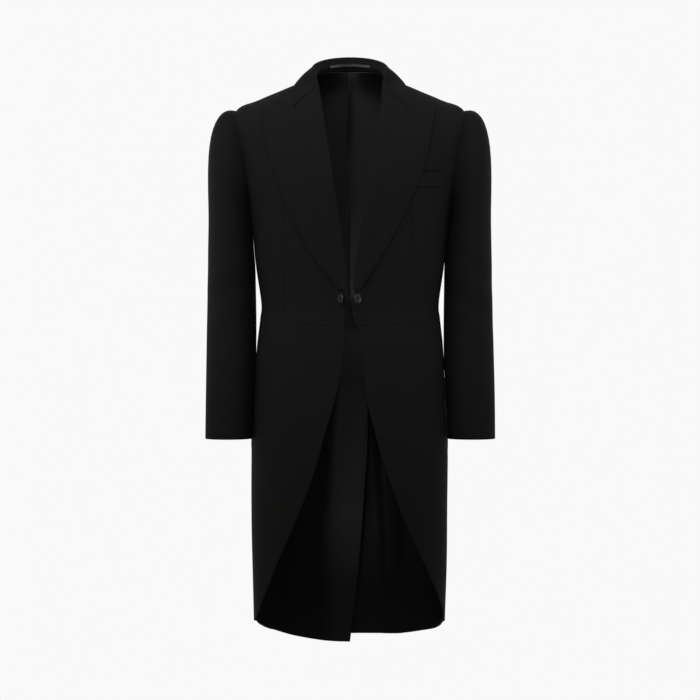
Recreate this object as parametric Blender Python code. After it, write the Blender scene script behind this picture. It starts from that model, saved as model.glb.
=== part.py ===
"""Morning coat, size 40R, filled out as if worn, its fronts linked at the waist.

The coat is cut from black wool: foreparts, side bodies, whole backs with tails, skirts that
sweep away from the link, two-piece sleeves, peaked lapels and a turned collar. Every piece is
a thin closed wall of its own. All walls are laid on one surface, the coat's body, which is
given by the rings of a table: an angle runs round it and a level runs down it.

Axes: +X is the wearer's left, the chest faces -Y, +Z is up. The origin lies midway between
the neck ends of the two shoulder seams. Sizes are in millimetres until a mesh is made.
"""
import math
from collections import namedtuple

import bmesh
import bpy
import numpy as np

MM = 0.001
STEP = 1e-3
HALVINGS = 45
DENSE = 60
SPANS = 12
SHARP_EDGE = math.radians(40)

# Cloth and gaps
WOOL = 1.9
LINING = 1.0
FACED_CLOTH = 2.6
SEAM_GAP = 0.4
LINING_GAP = 0.5
LOOSE_LINING_GAP = 1.7

# Heights of the main lines
SHOULDER_TIP_LEVEL = 3.0
NECK_LEVEL = 1.0
WAIST_LEVEL = 8.0
BREAK_HEIGHT = -395.0
LINK_HEIGHT = -412.0
VENT_HEAD = -464.0
CUFF_HEIGHT = -676.0

# How many strips each stretch of cloth is divided into
NECK_ROWS, ROLL_ROWS, EDGE_ROWS = 2, 12, 3
ARMHOLE_FRONT_ROWS, ARMHOLE_SIDE_ROWS, ARMHOLE_BACK_ROWS = 8, 5, 6
SIDE_SEAM_ROWS = 9
FRONT_SHARES = (0.0, 0.035, 0.08, 0.15, 0.24, 0.34, 0.44, 0.54, 0.64, 0.74, 0.83, 0.92, 1.0)
BACK_NECK_COLUMNS, BACK_SHOULDER_COLUMNS = 4, 5
COLLAR_ROWS, GORGE_ROWS, LEAF_COLUMNS, PEAK_COLUMNS = 12, 3, 3, 3
LAPEL_ROWS = 16

WEARERS = {"left": 1.0, "right": -1.0}

Ring = namedtuple("Ring", "name side front back half_width ahead behind squareness")
RINGS = (
    Ring("collar fold",    31.0,    -8.0,    67.0,  69.5,  76.0,  86.0, 2.0),
    Ring("neck seam",       9.5,   -70.0,    41.0,  71.0,  82.0,  84.0, 2.0),
    Ring("shoulder",      -16.0,  -108.0,    -5.0, 140.0, 100.0, 103.0, 2.05),
    Ring("shoulder tip",  -47.5,  -145.0,   -75.0, 219.0, 114.0, 119.0, 2.2),
    Ring("shoulder blade", -140.0, -185.0, -150.0, 215.0, 126.0, 129.0, 2.35),
    Ring("underarm",     -240.0,  -245.0,  -240.0, 193.0, 130.0, 131.0, 2.4),
    Ring("ribs",         -344.0,  -346.0,  -344.0, 180.5, 124.0, 119.0, 2.35),
    Ring("waist",        -417.0,  -420.0,  -417.0, 170.0, 118.0, 107.0, 2.3),
    Ring("waist seam",   -450.0,  -462.0,  -452.0, 172.5, 119.0, 111.0, 2.3),
    Ring("hip",          -522.0,  -530.0,  -522.0, 180.0, 123.0, 124.0, 2.3),
    Ring("seat",         -678.0,  -685.0,  -678.0, 188.0, 127.0, 142.0, 2.3),
    Ring("thigh",        -850.0,  -855.0,  -850.0, 187.0, 126.0, 147.0, 2.3),
    Ring("knee",        -1110.0, -1115.0, -1110.0, 181.0, 122.0, 150.0, 2.3),
)
RING_TABLE = np.array([ring[1:] for ring in RINGS])
HALF_WIDTH, AHEAD, BEHIND, SQUARENESS = 3, 4, 5, 6

# Lines of the cut: a height, and how far the line lies out from the middle on each side
Line = namedtuple("Line", "height right left")
ROLL_LINE = (
    Line(-6.0, 61.5, 63.5),
    Line(-60.0, 54.5, 60.5),
    Line(-120.0, 45.5, 48.5),
    Line(-180.0, 36.0, 38.5),
    Line(-245.0, 26.5, 28.5),
    Line(-320.0, 14.8, 17.8),
    Line(BREAK_HEIGHT, 8.0, 8.5),
)
LAPEL_EDGE = (
    Line(-50.0, 167.5, 161.5),
    Line(-75.0, 162.0, 156.5),
    Line(-113.0, 156.8, 149.5),
    Line(-150.0, 147.5, 140.5),
    Line(-190.0, 134.0, 127.5),
    Line(-229.0, 120.5, 110.0),
    Line(-265.0, 104.8, 94.0),
    Line(-303.0, 83.6, 74.5),
    Line(-341.0, 62.3, 52.5),
    Line(-369.0, 41.0, 35.0),
    Line(-393.0, 22.5, 19.0),
)
FRONT_EDGE = (
    Line(BREAK_HEIGHT, 8.0, 8.5),
    Line(-430.0, 9.2, 12.0),
    Line(-462.0, 10.8, 15.7),
    Line(-500.0, 11.8, 20.8),
    Line(-536.0, 15.0, 25.0),
    Line(-570.0, 21.5, 28.0),
    Line(-614.0, 32.0, 34.5),
    Line(-655.0, 44.8, 45.2),
    Line(-708.0, 59.0, 59.5),
    Line(-762.0, 76.5, 78.5),
    Line(-809.0, 94.4, 95.8),
    Line(-850.0, 111.5, 113.2),
    Line(-890.0, 130.0, 131.5),
    Line(-930.0, 146.5, 149.5),
    Line(-965.0, 161.5, 165.5),
    Line(-997.0, 172.5, 176.5),
    Line(-1020.0, 179.0, 180.5),
)
SIDE_BACK_SEAM = (
    Line(-168.0, 197.0, 197.0),
    Line(-200.0, 172.0, 172.0),
    Line(-245.0, 138.0, 138.0),
    Line(-300.0, 104.0, 104.0),
    Line(-360.0, 76.0, 76.0),
    Line(-415.0, 58.0, 58.0),
    Line(-452.0, 52.0, 52.0),
)
PLEAT_LINE = (
    Line(-452.0, 52.0, 52.0),
    Line(-560.0, 76.0, 59.0),
    Line(-700.0, 104.0, 71.0),
    Line(-830.0, 128.0, 79.5),
    Line(-950.0, 147.0, 84.5),
    Line(-1060.0, 156.0, 86.0),
)
CENTRE_BACK_EDGE = (
    Line(VENT_HEAD, 0.2, 0.2),
    Line(-480.0, -34.0, -0.8),
    Line(-560.0, -37.5, -5.5),
    Line(-640.0, -39.0, -10.0),
    Line(-703.0, -38.0, -13.5),
    Line(-787.0, -32.0, -18.5),
    Line(-928.0, -21.0, -26.5),
    Line(-1024.0, -9.0, -32.0),
    Line(-1090.0, 0.0, -35.5),
)
TAIL_HEIGHTS = (-452.0, -464.0, -480.0, -515.0, -570.0, -630.0, -695.0, -765.0,
                -835.0, -905.0, -970.0, -1025.0)

Hem = namedtuple("Hem", "out right left")
HEM_LINE = (
    Hem(-40.0, -1091.0, -1077.0),
    Hem(0.0, -1091.0, -1077.0),
    Hem(61.0, -1087.0, -1075.5),
    Hem(110.0, -1075.0, -1067.0),
    Hem(156.0, -1052.0, -1050.0),
    Hem(174.0, -1038.0, -1038.0),
    Hem(182.0, -1026.0, -1027.0),
)

# The armhole seen from the side, forward of the shoulder seam counted as minus
Armhole = namedtuple("Armhole", "depth height")
ARMHOLE_FRONT = (
    Armhole(0.0, -47.5), Armhole(-22.0, -58.0), Armhole(-43.0, -88.0), Armhole(-56.0, -125.0),
    Armhole(-59.0, -162.0), Armhole(-50.0, -203.0), Armhole(-28.0, -232.0), Armhole(2.0, -243.0),
)
ARMHOLE_SIDE = (Armhole(2.0, -243.0), Armhole(34.0, -232.0), Armhole(57.0, -203.0), Armhole(65.0, -168.0))
ARMHOLE_BACK = (
    Armhole(65.0, -168.0), Armhole(61.0, -122.0), Armhole(44.0, -82.0), Armhole(20.0, -56.0),
    Armhole(0.0, -47.5),
)

# The sleeve's rings, from the upper arm to the cuff
SleeveRing = namedtuple("SleeveRing", "height inner outer front back")
SLEEVE_RINGS = (
    SleeveRing(-265.0, 193.6, 270.3, -72.0, 76.0),
    SleeveRing(-305.0, 188.6, 271.2, -70.0, 76.0),
    SleeveRing(-344.0, 183.4, 272.0, -67.0, 76.0),
    SleeveRing(-390.0, 181.8, 272.9, -61.0, 73.0),
    SleeveRing(-435.0, 181.8, 273.7, -57.0, 68.0),
    SleeveRing(-480.0, 181.8, 274.4, -57.0, 60.0),
    SleeveRing(-525.0, 183.2, 275.0, -60.0, 50.0),
    SleeveRing(-575.0, 186.4, 275.7, -63.0, 40.0),
    SleeveRing(-625.0, 189.4, 276.2, -65.0, 31.0),
    SleeveRing(CUFF_HEIGHT, 190.6, 276.5, -66.0, 26.0),
)
SLEEVE_HEAD_STEPS = (0.0, 0.07, 0.18, 0.34, 0.54, 0.77)
FORE_SEAM, HIND_SEAM = 6, 13
SLEEVE_STAND, SLEEVE_GAP = 0.6, 0.4
SLEEVE_HEAD_SPRING = 0.75
SLEEVE_LEAVE = (1.0, -0.55, 0.2)

# How the front edges stand forward at the link, and how the tails hang off the body
LIP_LIFT, LIP_REACH, LIP_HALF_HEIGHT = 12.0, 21.0, 30.0
PLEAT_HEAD = -422.0
PLEAT_DEPTH = 3.7
PLEAT_OVERLAP = 22.0
PLEAT_EASE = 50.0
PLEAT_SINK, PLEAT_SINK_OUT = 28.0, (-28.0, -6.0)
SWING_START, SWING_SHORT = 14.0, 24.0
SEAM_MARGIN = 0.02
SIDE_SEAM_FADE = 0.25
LINING_INSET, LINING_SIDE_INSET = 12.0, 3.0
LINING_BEHIND, LINING_RISE, LINING_REACH = 27.0, 0.35, 184.0
SKIRT_EDGE_HEAD, SKIRT_HEM_START = FRONT_EDGE[2].height, 181.5
TAIL_SWING = (
    Line(-430.0, 0.0, 0.0),
    Line(-452.0, -4.0, 0.0),
    Line(-464.0, -6.0, 0.0),
    Line(-600.0, -7.0, 2.0),
    Line(-800.0, -9.0, 4.0),
    Line(-1090.0, -13.0, 6.0),
)

# Pins: an angle round the body from the middle of the chest, and a level down it
SHOULDER_NECK = (math.pi / 2, NECK_LEVEL)
SHOULDER_TIP = (math.pi / 2, SHOULDER_TIP_LEVEL)
CENTRE_NECK = (math.pi, NECK_LEVEL)
SIDE_SEAM_ANGLE = math.radians(93)

# The collar and lapel, by their corners on each side
Corner = namedtuple("Corner", "out height")
LEAF_CORNER = {"right": Corner(141.0, -43.5), "left": Corner(138.0, -42.0)}
GORGE_CORNER = {"right": Corner(104.0, -53.0), "left": Corner(110.5, -56.5)}
GORGE_BEND = {"right": Corner(88.0, -31.0), "left": Corner(86.0, -31.0)}
GORGE_TOP = {"right": Corner(62.8, 2.0), "left": Corner(64.3, 0.0)}
PEAK_TIP = {"right": Corner(168.8, -44.5), "left": Corner(163.8, -38.0)}
COLLAR_FALL_LEVEL = 1.5
SHOULDER_FALL_LEVEL = 1.58
STAND_FOOT = 0.982
STAND_STEPS = (0.0, 0.35, 0.7, 0.9)
FALL_COLUMN = len(STAND_STEPS) + 1
GORGE_PATH = ([COLLAR_ROWS] * 2 + list(range(COLLAR_ROWS + 1, COLLAR_ROWS + GORGE_ROWS))
              + [COLLAR_ROWS + GORGE_ROWS] * (LEAF_COLUMNS + 1),
              [FALL_COLUMN - 1] + [FALL_COLUMN] * (GORGE_ROWS + 1)
              + list(range(FALL_COLUMN + 1, FALL_COLUMN + LEAF_COLUMNS + 1)))
LAPEL_GORGE = slice(1, len(GORGE_PATH[0]) + 1)
FOLD_BEHIND, FOLD_SHOULDER = (math.radians(130), 0.0), (math.radians(100), 0.0)
FOLD_FRONT = (math.radians(84), 0.03)
STAND_FRONT = (math.radians(70), STAND_FOOT)
COLLAR_EDGE = (
    (math.radians(150), COLLAR_FALL_LEVEL), (math.radians(118), COLLAR_FALL_LEVEL + 0.04),
    (math.radians(92), SHOULDER_FALL_LEVEL), (math.radians(80), SHOULDER_FALL_LEVEL + 0.25),
)
LYING_ROWS = (0.55, 0.78)
STAND_LIFT = -0.5
FALL_LIFT, FOLD_REACH = 4.0, 2.6
LAPEL_FOOT_LIFT, LAPEL_FOOT_REACH, LAPEL_FOLD_GAPS = -1.2, 1.8, (4.0, 1.0)
FALL_BULGE = 6.0

# Small pieces
BUTTON_RADIUS = 10.0
BUTTON_THICKNESS = 3.4
ROUND_SIDES = 16
BUTTON_GAP, WAIST_BUTTON_GAP = 0.3, 1.5
WAIST_BUTTON_OUT, WAIST_BUTTON_UP = 6.0, 8.0
BUTTON_RIM_STEPS = 9
TurnedRing = namedtuple("TurnedRing", "radius height")
BUTTON_PROFILE = (
    TurnedRing(8.2, -1.7), TurnedRing(9.6, -1.0), TurnedRing(10.0, 0.2), TurnedRing(9.5, 1.4),
    TurnedRing(8.5, 1.7), TurnedRing(7.3, 1.4), TurnedRing(6.0, 0.6),
)
LINK_BUTTON_OUT = {"right": 17.3, "left": 14.4}
LINK_TILT = {"right": math.radians(68), "left": math.radians(55)}
LINK_RADIUS, LINK_HALF_SPAN, LINK_CLEARANCE = 1.3, 15.0, 0.6
WELT_HEIGHT, WELT_THICKNESS, WELT_GAP = 26.0, 1.2, 0.5
WELT_ENDS = (Corner(84.0, -181.0), Corner(172.0, -174.5))
WELT_ROWS, WELT_COLUMNS = 2, 8
LOOP_HALF_SPAN, LOOP_WIDTH, LOOP_THICKNESS, LOOP_HEIGHT = 40.5, 5.0, 1.6, 53.5
LOOP_SLACK, LOOP_ARCH, LOOP_GAP, LOOP_COLUMNS = 3.5, 1.5, 0.4, 12


class Finish(namedtuple("Finish", "name colour roughness")):
    """A plain material: its name, its linear colour and its roughness."""

    def material(self):
        """Return the Blender material of this finish, made once."""
        found = bpy.data.materials.get(self.name)
        if found is None:
            found = bpy.data.materials.new(self.name)
            found.use_nodes = True
            shader = found.node_tree.nodes["Principled BSDF"]
            shader.inputs["Base Color"].default_value = (*self.colour, 1.0)
            shader.inputs["Roughness"].default_value = self.roughness
            shader.inputs["Metallic"].default_value = 0.0
        return found


BLACK_WOOL = Finish("black wool", (0.009, 0.009, 0.010), 0.85)
SATIN_LINING = Finish("satin lining", (0.020, 0.018, 0.021), 0.40)
HORN = Finish("dark horn", (0.012, 0.011, 0.010), 0.30)
THREAD = Finish("black thread", (0.010, 0.010, 0.010), 0.70)


def ring_sizes(level):
    """Return the ring table's columns at a level, on a smooth curve through the rings."""
    level = np.clip(np.asarray(level, float), 0.0, len(RINGS) - 1.0)
    first = np.minimum(level.astype(int), len(RINGS) - 2)
    part = (level - first)[..., None]
    here, after = RING_TABLE[first], RING_TABLE[first + 1]
    before = np.where((first > 0)[..., None], RING_TABLE[np.maximum(first - 1, 0)], 2 * here - after)
    beyond = np.minimum(first + 2, len(RINGS) - 1)
    further = np.where((first < len(RINGS) - 2)[..., None], RING_TABLE[beyond], 2 * after - here)
    slope_here, slope_after = (after - before) / 2, (further - here) / 2
    return (here * (2 * part**3 - 3 * part**2 + 1) + slope_here * (part**3 - 2 * part**2 + part)
            + after * (3 * part**2 - 2 * part**3) + slope_after * (part**3 - part**2))


def body(angle, level):
    """Return points of the coat's body: superellipse rings, tilted down to the front."""
    angle, level = np.broadcast_arrays(np.asarray(angle, float), np.asarray(level, float))
    side, front, back, half_width, ahead, behind, squareness = np.moveaxis(ring_sizes(level), -1, 0)
    across, along = np.sin(angle), np.cos(angle)
    x = half_width * np.sign(across) * np.abs(across) ** (2 / squareness)
    y = np.where(along > 0, -ahead, behind) * np.abs(along) ** (2 / squareness)
    z = side - (back - front) / 2 * along + ((back + front) / 2 - side) * along**2
    return np.stack([x, y, z], -1)


def outward(angle, level):
    """Return the body's unit normals, pointing away from the wearer."""
    round_it = body(angle + STEP, level) - body(angle - STEP, level)
    level = np.clip(level, STEP, len(RINGS) - 1 - STEP)
    down_it = body(angle, level + STEP) - body(angle, level - STEP)
    normal = np.cross(down_it, round_it)
    return normal / np.linalg.norm(normal, axis=-1, keepdims=True)


def solve_level(height, angle_at):
    """Find the level whose point has the height, by halving, where angle_at gives the angle."""
    low, high = np.zeros(np.shape(height)), np.full(np.shape(height), len(RINGS) - 1.0)
    for _ in range(HALVINGS):
        middle = (low + high) / 2
        above = body(angle_at(middle), middle)[..., 2] > height
        low, high = np.where(above, middle, low), np.where(above, high, middle)
    level = (low + high) / 2
    return np.stack([angle_at(level), level], -1)


def seen_from_front(out, height, back=False):
    """Return (angle, level) of points given by their distance out from the middle and height."""
    out, height = np.broadcast_arrays(np.asarray(out, float), np.asarray(height, float))

    def angle_at(level):
        sizes = ring_sizes(level)
        share = np.clip(np.abs(out) / sizes[..., HALF_WIDTH], 0, 1) ** (sizes[..., SQUARENESS] / 2)
        turn = np.arcsin(share) * np.sign(out)
        return math.pi - turn if back else turn

    return solve_level(height, angle_at)


def front_view(pins):
    """Return how far out from the middle and how high a line's pins lie, seen from the front."""
    return body(pins[:, 0], pins[:, 1])[:, ::2]


def seen_from_side(depth, height):
    """Return (angle, level) of points given by their depth and height, seen from the side."""
    depth, height = np.broadcast_arrays(np.asarray(depth, float), np.asarray(height, float))

    def angle_at(level):
        sizes = ring_sizes(level)
        reach = np.where(depth < 0, sizes[..., AHEAD], sizes[..., BEHIND])
        share = np.clip(np.abs(depth) / reach, 0, 1) ** (sizes[..., SQUARENESS] / 2)
        return math.pi / 2 + np.arcsin(share) * np.sign(depth)

    return solve_level(height, angle_at)


def through(rows):
    """Return a smooth dense line through the rows of a table of points."""
    rows = np.asarray(rows, float)
    padded = np.vstack([2 * rows[0] - rows[1], rows, 2 * rows[-1] - rows[-2]])
    pieces = []
    for k in range(len(rows) - 1):
        a, b, c, d = padded[k:k + 4]
        t = np.linspace(0, 1, SPANS, endpoint=False)[:, None]
        pieces.append(0.5 * (2 * b + (c - a) * t + (2 * a - 5 * b + 4 * c - d) * t**2
                             + (3 * b - a - 3 * c + d) * t**3))
    return np.vstack(pieces + [rows[-1:]])


def lengths_along(points):
    """Return each point's distance along a line of points, from 0 to 1."""
    steps = np.linalg.norm(np.diff(points, axis=0), axis=-1)
    total = np.concatenate([[0.0], np.cumsum(steps)])
    return total / total[-1]


def sample(pins, shares):
    """Return (angle, level) pins at given shares of a line's length on the body."""
    along = lengths_along(body(pins[:, 0], pins[:, 1]))
    shares = np.asarray(shares, float)
    return np.stack([np.interp(shares, along, pins[:, k]) for k in (0, 1)], -1)


def evenly(pins, count):
    """Return count + 1 even pins along a line."""
    return sample(pins, np.linspace(0, 1, count + 1))


def line_out(table, who, height):
    """Return how far out a line of the cut lies at a height, on a smooth curve."""
    rows = through([(row.height, getattr(row, who)) for row in table])
    return np.interp(-np.asarray(height, float), -rows[:, 0], rows[:, 1])


def line_pins(table, who, back=False):
    """Return dense pins along a line of the cut."""
    rows = through([(row.height, getattr(row, who)) for row in table])
    return seen_from_front(rows[:, 1], rows[:, 0], back)


def armhole_pins(table):
    """Return dense pins along a stretch of the armhole."""
    rows = through([(row.depth, row.height) for row in table])
    return seen_from_side(rows[:, 0], rows[:, 1])


def hem_height(out, who):
    """Return the hem's height at a distance out from the middle."""
    rows = through([(row.out, getattr(row, who)) for row in HEM_LINE])
    return np.interp(out, rows[:, 0], rows[:, 1])


def join(*stretches):
    """Join lines of pins end to end, dropping each repeated end."""
    return np.vstack([stretches[0]] + [stretch[1:] for stretch in stretches[1:]])


def straight(start, end):
    """Return dense pins on a straight line in angle and level."""
    share = np.linspace(0, 1, DENSE)[:, None]
    return np.asarray(start) * (1 - share) + np.asarray(end) * share


def blend_patch(top, bottom, left, right, over=None, down=None):
    """Return a grid of pins between four lines of pins (a bilinear Coons patch).

    Args:
        top, bottom, left, right: the four lines, which share their corners.
        over, down: the shares at which the columns and rows lie, evenly spaced if left out.
    """
    over = np.linspace(0, 1, len(top)) if over is None else np.asarray(over, float)
    down = np.linspace(0, 1, len(left)) if down is None else np.asarray(down, float)
    over, down = over[None, :, None], down[:, None, None]
    sides = (1 - over) * left[:, None] + over * right[:, None]
    ends = (1 - down) * top[None] + down * bottom[None]
    corners = ((1 - down) * ((1 - over) * top[0] + over * top[-1])
               + down * ((1 - over) * bottom[0] + over * bottom[-1]))
    return sides + ends - corners


def raised(pins, height):
    """Return the body's points at the pins, moved out along the normals."""
    height = np.broadcast_to(height, pins.shape[:-1])
    return body(pins[..., 0], pins[..., 1]) + outward(pins[..., 0], pins[..., 1]) * height[..., None]


def grid_normals(points):
    """Return unit normals of a grid of points, turned as down cross over."""
    down = np.gradient(points, axis=0)
    over = np.gradient(points, axis=1)
    normal = np.cross(down, over)
    return normal / np.linalg.norm(normal, axis=-1, keepdims=True)


def drawn_in(points, top=SEAM_GAP / 2, bottom=SEAM_GAP / 2, left=SEAM_GAP / 2, right=SEAM_GAP / 2):
    """Return a grid with its edges drawn in towards its inside, by a distance or one a point."""
    points = points.copy()
    for axis, edge, inner, gap in ((0, 0, 1, top), (0, -1, -2, bottom), (1, 0, 1, left), (1, -1, -2, right)):
        grid = np.moveaxis(points, axis, 0)
        way = grid[inner] - grid[edge]
        distance = np.broadcast_to(gap, way.shape[:1])[:, None]
        grid[edge] += way / np.linalg.norm(way, axis=-1, keepdims=True) * distance
    return points


def wall(name, outer, inner, finish, mirror=1.0):
    """Make a closed wall between two grids of points, in metres, and return its object.

    Where points of the grids are not numbers, the wall has no cloth.
    """
    kept = ~np.isnan(outer[..., 0])
    points = np.vstack([outer[kept], inner[kept]]) * (mirror * MM, MM, MM)
    count = len(points) // 2
    index = np.full(kept.shape, -1)
    index[kept] = np.arange(count)
    quads = np.stack([index[:-1, :-1], index[1:, :-1], index[1:, 1:], index[:-1, 1:]], -1).reshape(-1, 4)
    quads = quads[quads.min(axis=1) >= 0]
    edges = {(quad[k - 1], quad[k]) for quad in quads.tolist() for k in range(4)}
    rim = [(b, a, a + count, b + count) for a, b in sorted(edges) if (b, a) not in edges]
    return add_mesh(name, points, quads.tolist() + (quads[:, (0, 3, 2, 1)] + count).tolist() + rim, finish)


def add_mesh(name, points, faces, finish):
    """Add a closed mesh object, its faces turned outwards, with one material to the scene."""
    mesh = bpy.data.meshes.new(name)
    mesh.from_pydata([tuple(p) for p in points], [], faces)
    shell = bmesh.new()
    shell.from_mesh(mesh)
    bmesh.ops.recalc_face_normals(shell, faces=shell.faces)
    shell.to_mesh(mesh)
    shell.free()
    mesh.materials.append(finish.material())
    mesh.shade_smooth()
    mesh.set_sharp_from_angle(angle=SHARP_EDGE)
    thing = bpy.data.objects.new(name, mesh)
    bpy.context.collection.objects.link(thing)
    return thing


def smooth_step(low, high, value):
    """Return 0 below low, 1 above high and a smooth rise between them."""
    share = np.clip((np.asarray(value, float) - low) / (high - low), 0, 1)
    return share * share * (3 - 2 * share)


class Half:
    """One half of the coat's cut, drawn as the wearer's left and mirrored for the right."""

    def __init__(self, who):
        """Work out the seams that neighbouring pieces share.

        Args:
            who: "left" or "right", the wearer's side.
        """
        self.who = who
        self.mirror = WEARERS[who]
        self.armhole_front = evenly(armhole_pins(ARMHOLE_FRONT), ARMHOLE_FRONT_ROWS)
        self.armhole_side = evenly(armhole_pins(ARMHOLE_SIDE), ARMHOLE_SIDE_ROWS)
        self.armhole_back = evenly(armhole_pins(ARMHOLE_BACK), ARMHOLE_BACK_ROWS)
        self.side_seam = evenly(straight(self.armhole_side[0], (SIDE_SEAM_ANGLE, WAIST_LEVEL)),
                                SIDE_SEAM_ROWS)
        self.side_back_seam = evenly(self.side_back_pins(), SIDE_SEAM_ROWS)
        edge = line_pins(FRONT_EDGE, who)
        self.edge_at_waist = (np.interp(WAIST_LEVEL, edge[:, 1], edge[:, 0]), WAIST_LEVEL)
        self.waist_front = sample(straight(self.edge_at_waist, self.side_seam[-1]), FRONT_SHARES)
        self.waist_side = evenly(straight(self.side_seam[-1], self.side_back_seam[-1]), ARMHOLE_SIDE_ROWS)
        self.fold, self.crest = self.fold_line()
        self.collar_half, self.lapel_half = self.collar_middle(), self.lapel_middle()
        normals = (collar_normals(self.collar_half)[GORGE_PATH]
                   + grid_normals(self.lapel_half)[0, LAPEL_GORGE])
        self.gorge_normals = normals / np.linalg.norm(normals, axis=-1, keepdims=True)

    def side_back_pins(self):
        """Return the side-back seam's pins, from the armhole to the waist seam."""
        pins = line_pins(SIDE_BACK_SEAM, self.who, back=True)
        fade = 1 - smooth_step(0, SIDE_SEAM_FADE, np.linspace(0, 1, len(pins)))
        pins = pins + (self.armhole_side[-1] - pins[0]) * fade[:, None]
        pins[-1, 1] = WAIST_LEVEL
        return pins

    def tail_edge(self, table, beyond=0.0, rise=0.0):
        """Return pins down an edge of the tail, one at each height and one on the hem.

        Args:
            table: the line of the cut that the edge follows.
            beyond: how far further out from the middle it lies, for each height or for all.
            rise: how far above the hem its last pin lies.
        """
        heights = np.append(TAIL_HEIGHTS[1:], HEM_LINE[0].right)
        out = line_out(table, self.who, heights) + beyond
        heights[-1] = hem_height(out[-1], self.who) + rise
        return seen_from_front(out, heights, back=True)

    def front_edge(self):
        """Return the forepart's free edge: neck, roll line, and edge down to the waist seam."""
        roll = line_pins(ROLL_LINE, self.who)
        start = (np.interp(NECK_LEVEL, roll[:, 1], roll[:, 0]), NECK_LEVEL)
        roll = np.vstack([start, roll[roll[:, 1] > NECK_LEVEL + SEAM_MARGIN]])
        edge = line_pins(FRONT_EDGE, self.who)
        edge = np.vstack([edge[edge[:, 1] < WAIST_LEVEL - SEAM_MARGIN], self.edge_at_waist])
        return join(evenly(straight(SHOULDER_NECK, start), NECK_ROWS), evenly(roll, ROLL_ROWS),
                    evenly(edge, EDGE_ROWS))

    def lip(self, pins):
        """Return how far the front edges stand forward where the link draws them together."""
        points = body(pins[..., 0], pins[..., 1])
        out, height = points[..., 0], points[..., 2]
        edge = np.where(height > BREAK_HEIGHT, line_out(ROLL_LINE, self.who, height),
                        line_out(FRONT_EDGE, self.who, height))
        near = np.clip(1 - (out - edge) / LIP_REACH, 0, 1) ** 2
        return LIP_LIFT * near * np.exp(-((height - LINK_HEIGHT) / LIP_HALF_HEIGHT) ** 2)

    def tail_lift(self, pins):
        """Return how far the back stands off the body's surface.

        The wearer's right tail hangs inside the left one from the vent down, and both tails
        run under the skirts' pleats.
        """
        points = body(pins[..., 0], pins[..., 1])
        out = np.where(pins[..., 0] > math.pi, -np.abs(points[..., 0]), points[..., 0])
        height = points[..., 2]
        pleat = np.where(height < PLEAT_LINE[0].height, line_out(PLEAT_LINE, self.who, height),
                         PLEAT_LINE[0].left)
        swing = np.interp(-height, [-row.height for row in TAIL_SWING],
                          [getattr(row, self.who) for row in TAIL_SWING])
        middle = 1 - smooth_step(0.0, 1.0, (out - SWING_START) / (pleat - SWING_SHORT))
        under = (smooth_step(-PLEAT_HEAD, PLEAT_SINK - PLEAT_HEAD, -height)
                 * smooth_step(*PLEAT_SINK_OUT, out - pleat))
        return swing * middle - PLEAT_DEPTH * under

    def panel(self, name, pins, lift=0.0, thickness=WOOL, finish=BLACK_WOOL, **insets):
        """Make a wall whose outer face lies at the pins, moved out by lift, its edges drawn in."""
        return wall(f"{name}_{self.who}", drawn_in(raised(pins, lift), **insets),
                    drawn_in(raised(pins, lift - thickness), **insets), finish, self.mirror)

    def forepart(self):
        """Make the forepart, from the shoulder to the waist seam."""
        shoulder = sample(straight(SHOULDER_NECK, SHOULDER_TIP), FRONT_SHARES)
        pins = blend_patch(shoulder, self.waist_front, self.front_edge(),
                           join(self.armhole_front, self.side_seam), over=FRONT_SHARES)
        self.panel("front", pins, self.lip(pins))

    def side_body(self):
        """Make the narrow side body, from the armhole to the waist seam."""
        self.panel("side_body", blend_patch(self.armhole_side, self.waist_side, self.side_seam,
                                            self.side_back_seam))

    def back_pins(self):
        """Return the pins of the back, cut whole from the neck to the tail's hem."""
        heights = np.append(TAIL_HEIGHTS[1:], HEM_LINE[0].right)
        overlap = PLEAT_OVERLAP * smooth_step(0.0, PLEAT_EASE, PLEAT_LINE[0].height - heights)
        side = join(self.armhole_back[::-1], self.side_back_seam)
        side = np.vstack([side, self.tail_edge(PLEAT_LINE, overlap)])
        head = seen_from_front(0.0, ARMHOLE_BACK[0].height, back=True)
        middle = join(evenly(straight(CENTRE_NECK, head), ARMHOLE_BACK_ROWS),
                      evenly(straight(head, (math.pi, WAIST_LEVEL)), SIDE_SEAM_ROWS))
        middle = np.vstack([middle, self.tail_edge(CENTRE_BACK_EDGE)])
        top = join(evenly(straight(SHOULDER_TIP, SHOULDER_NECK), BACK_SHOULDER_COLUMNS),
                   evenly(straight(SHOULDER_NECK, middle[0]), BACK_NECK_COLUMNS))
        out = np.linspace(body(*side[-1])[0], body(*middle[-1])[0], DENSE)
        hem = seen_from_front(out, hem_height(out, self.who), back=True)
        hem[0], hem[-1] = side[-1], middle[-1]
        blades, waist = ARMHOLE_BACK_ROWS, ARMHOLE_BACK_ROWS + SIDE_SEAM_ROWS
        rows = (0, blades, waist, len(side) - 1)
        across = [evenly(straight(side[row], middle[row]), len(top) - 1) for row in (blades, waist)]
        lines = [top, *across, evenly(hem, len(top) - 1)]
        return join(*[blend_patch(lines[k], lines[k + 1], side[rows[k]:rows[k + 1] + 1],
                                  middle[rows[k]:rows[k + 1] + 1]) for k in range(len(lines) - 1)])

    def back(self):
        """Make the back with its tail."""
        pins = self.back_pins()
        self.panel("back", pins, self.tail_lift(pins))

    def back_lining(self):
        """Make the lining of the back and tail, which shows inside the open coat."""
        pins = self.back_pins()
        vent = np.full(len(pins), SEAM_GAP / 2)
        vent[-len(TAIL_HEIGHTS):] = LINING_INSET
        side = np.full(len(pins), LINING_SIDE_INSET)
        self.panel("lining_back", pins, self.tail_lift(pins) - WOOL - LINING_GAP, LINING, SATIN_LINING,
                   bottom=LINING_INSET, left=side, right=vent)

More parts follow.
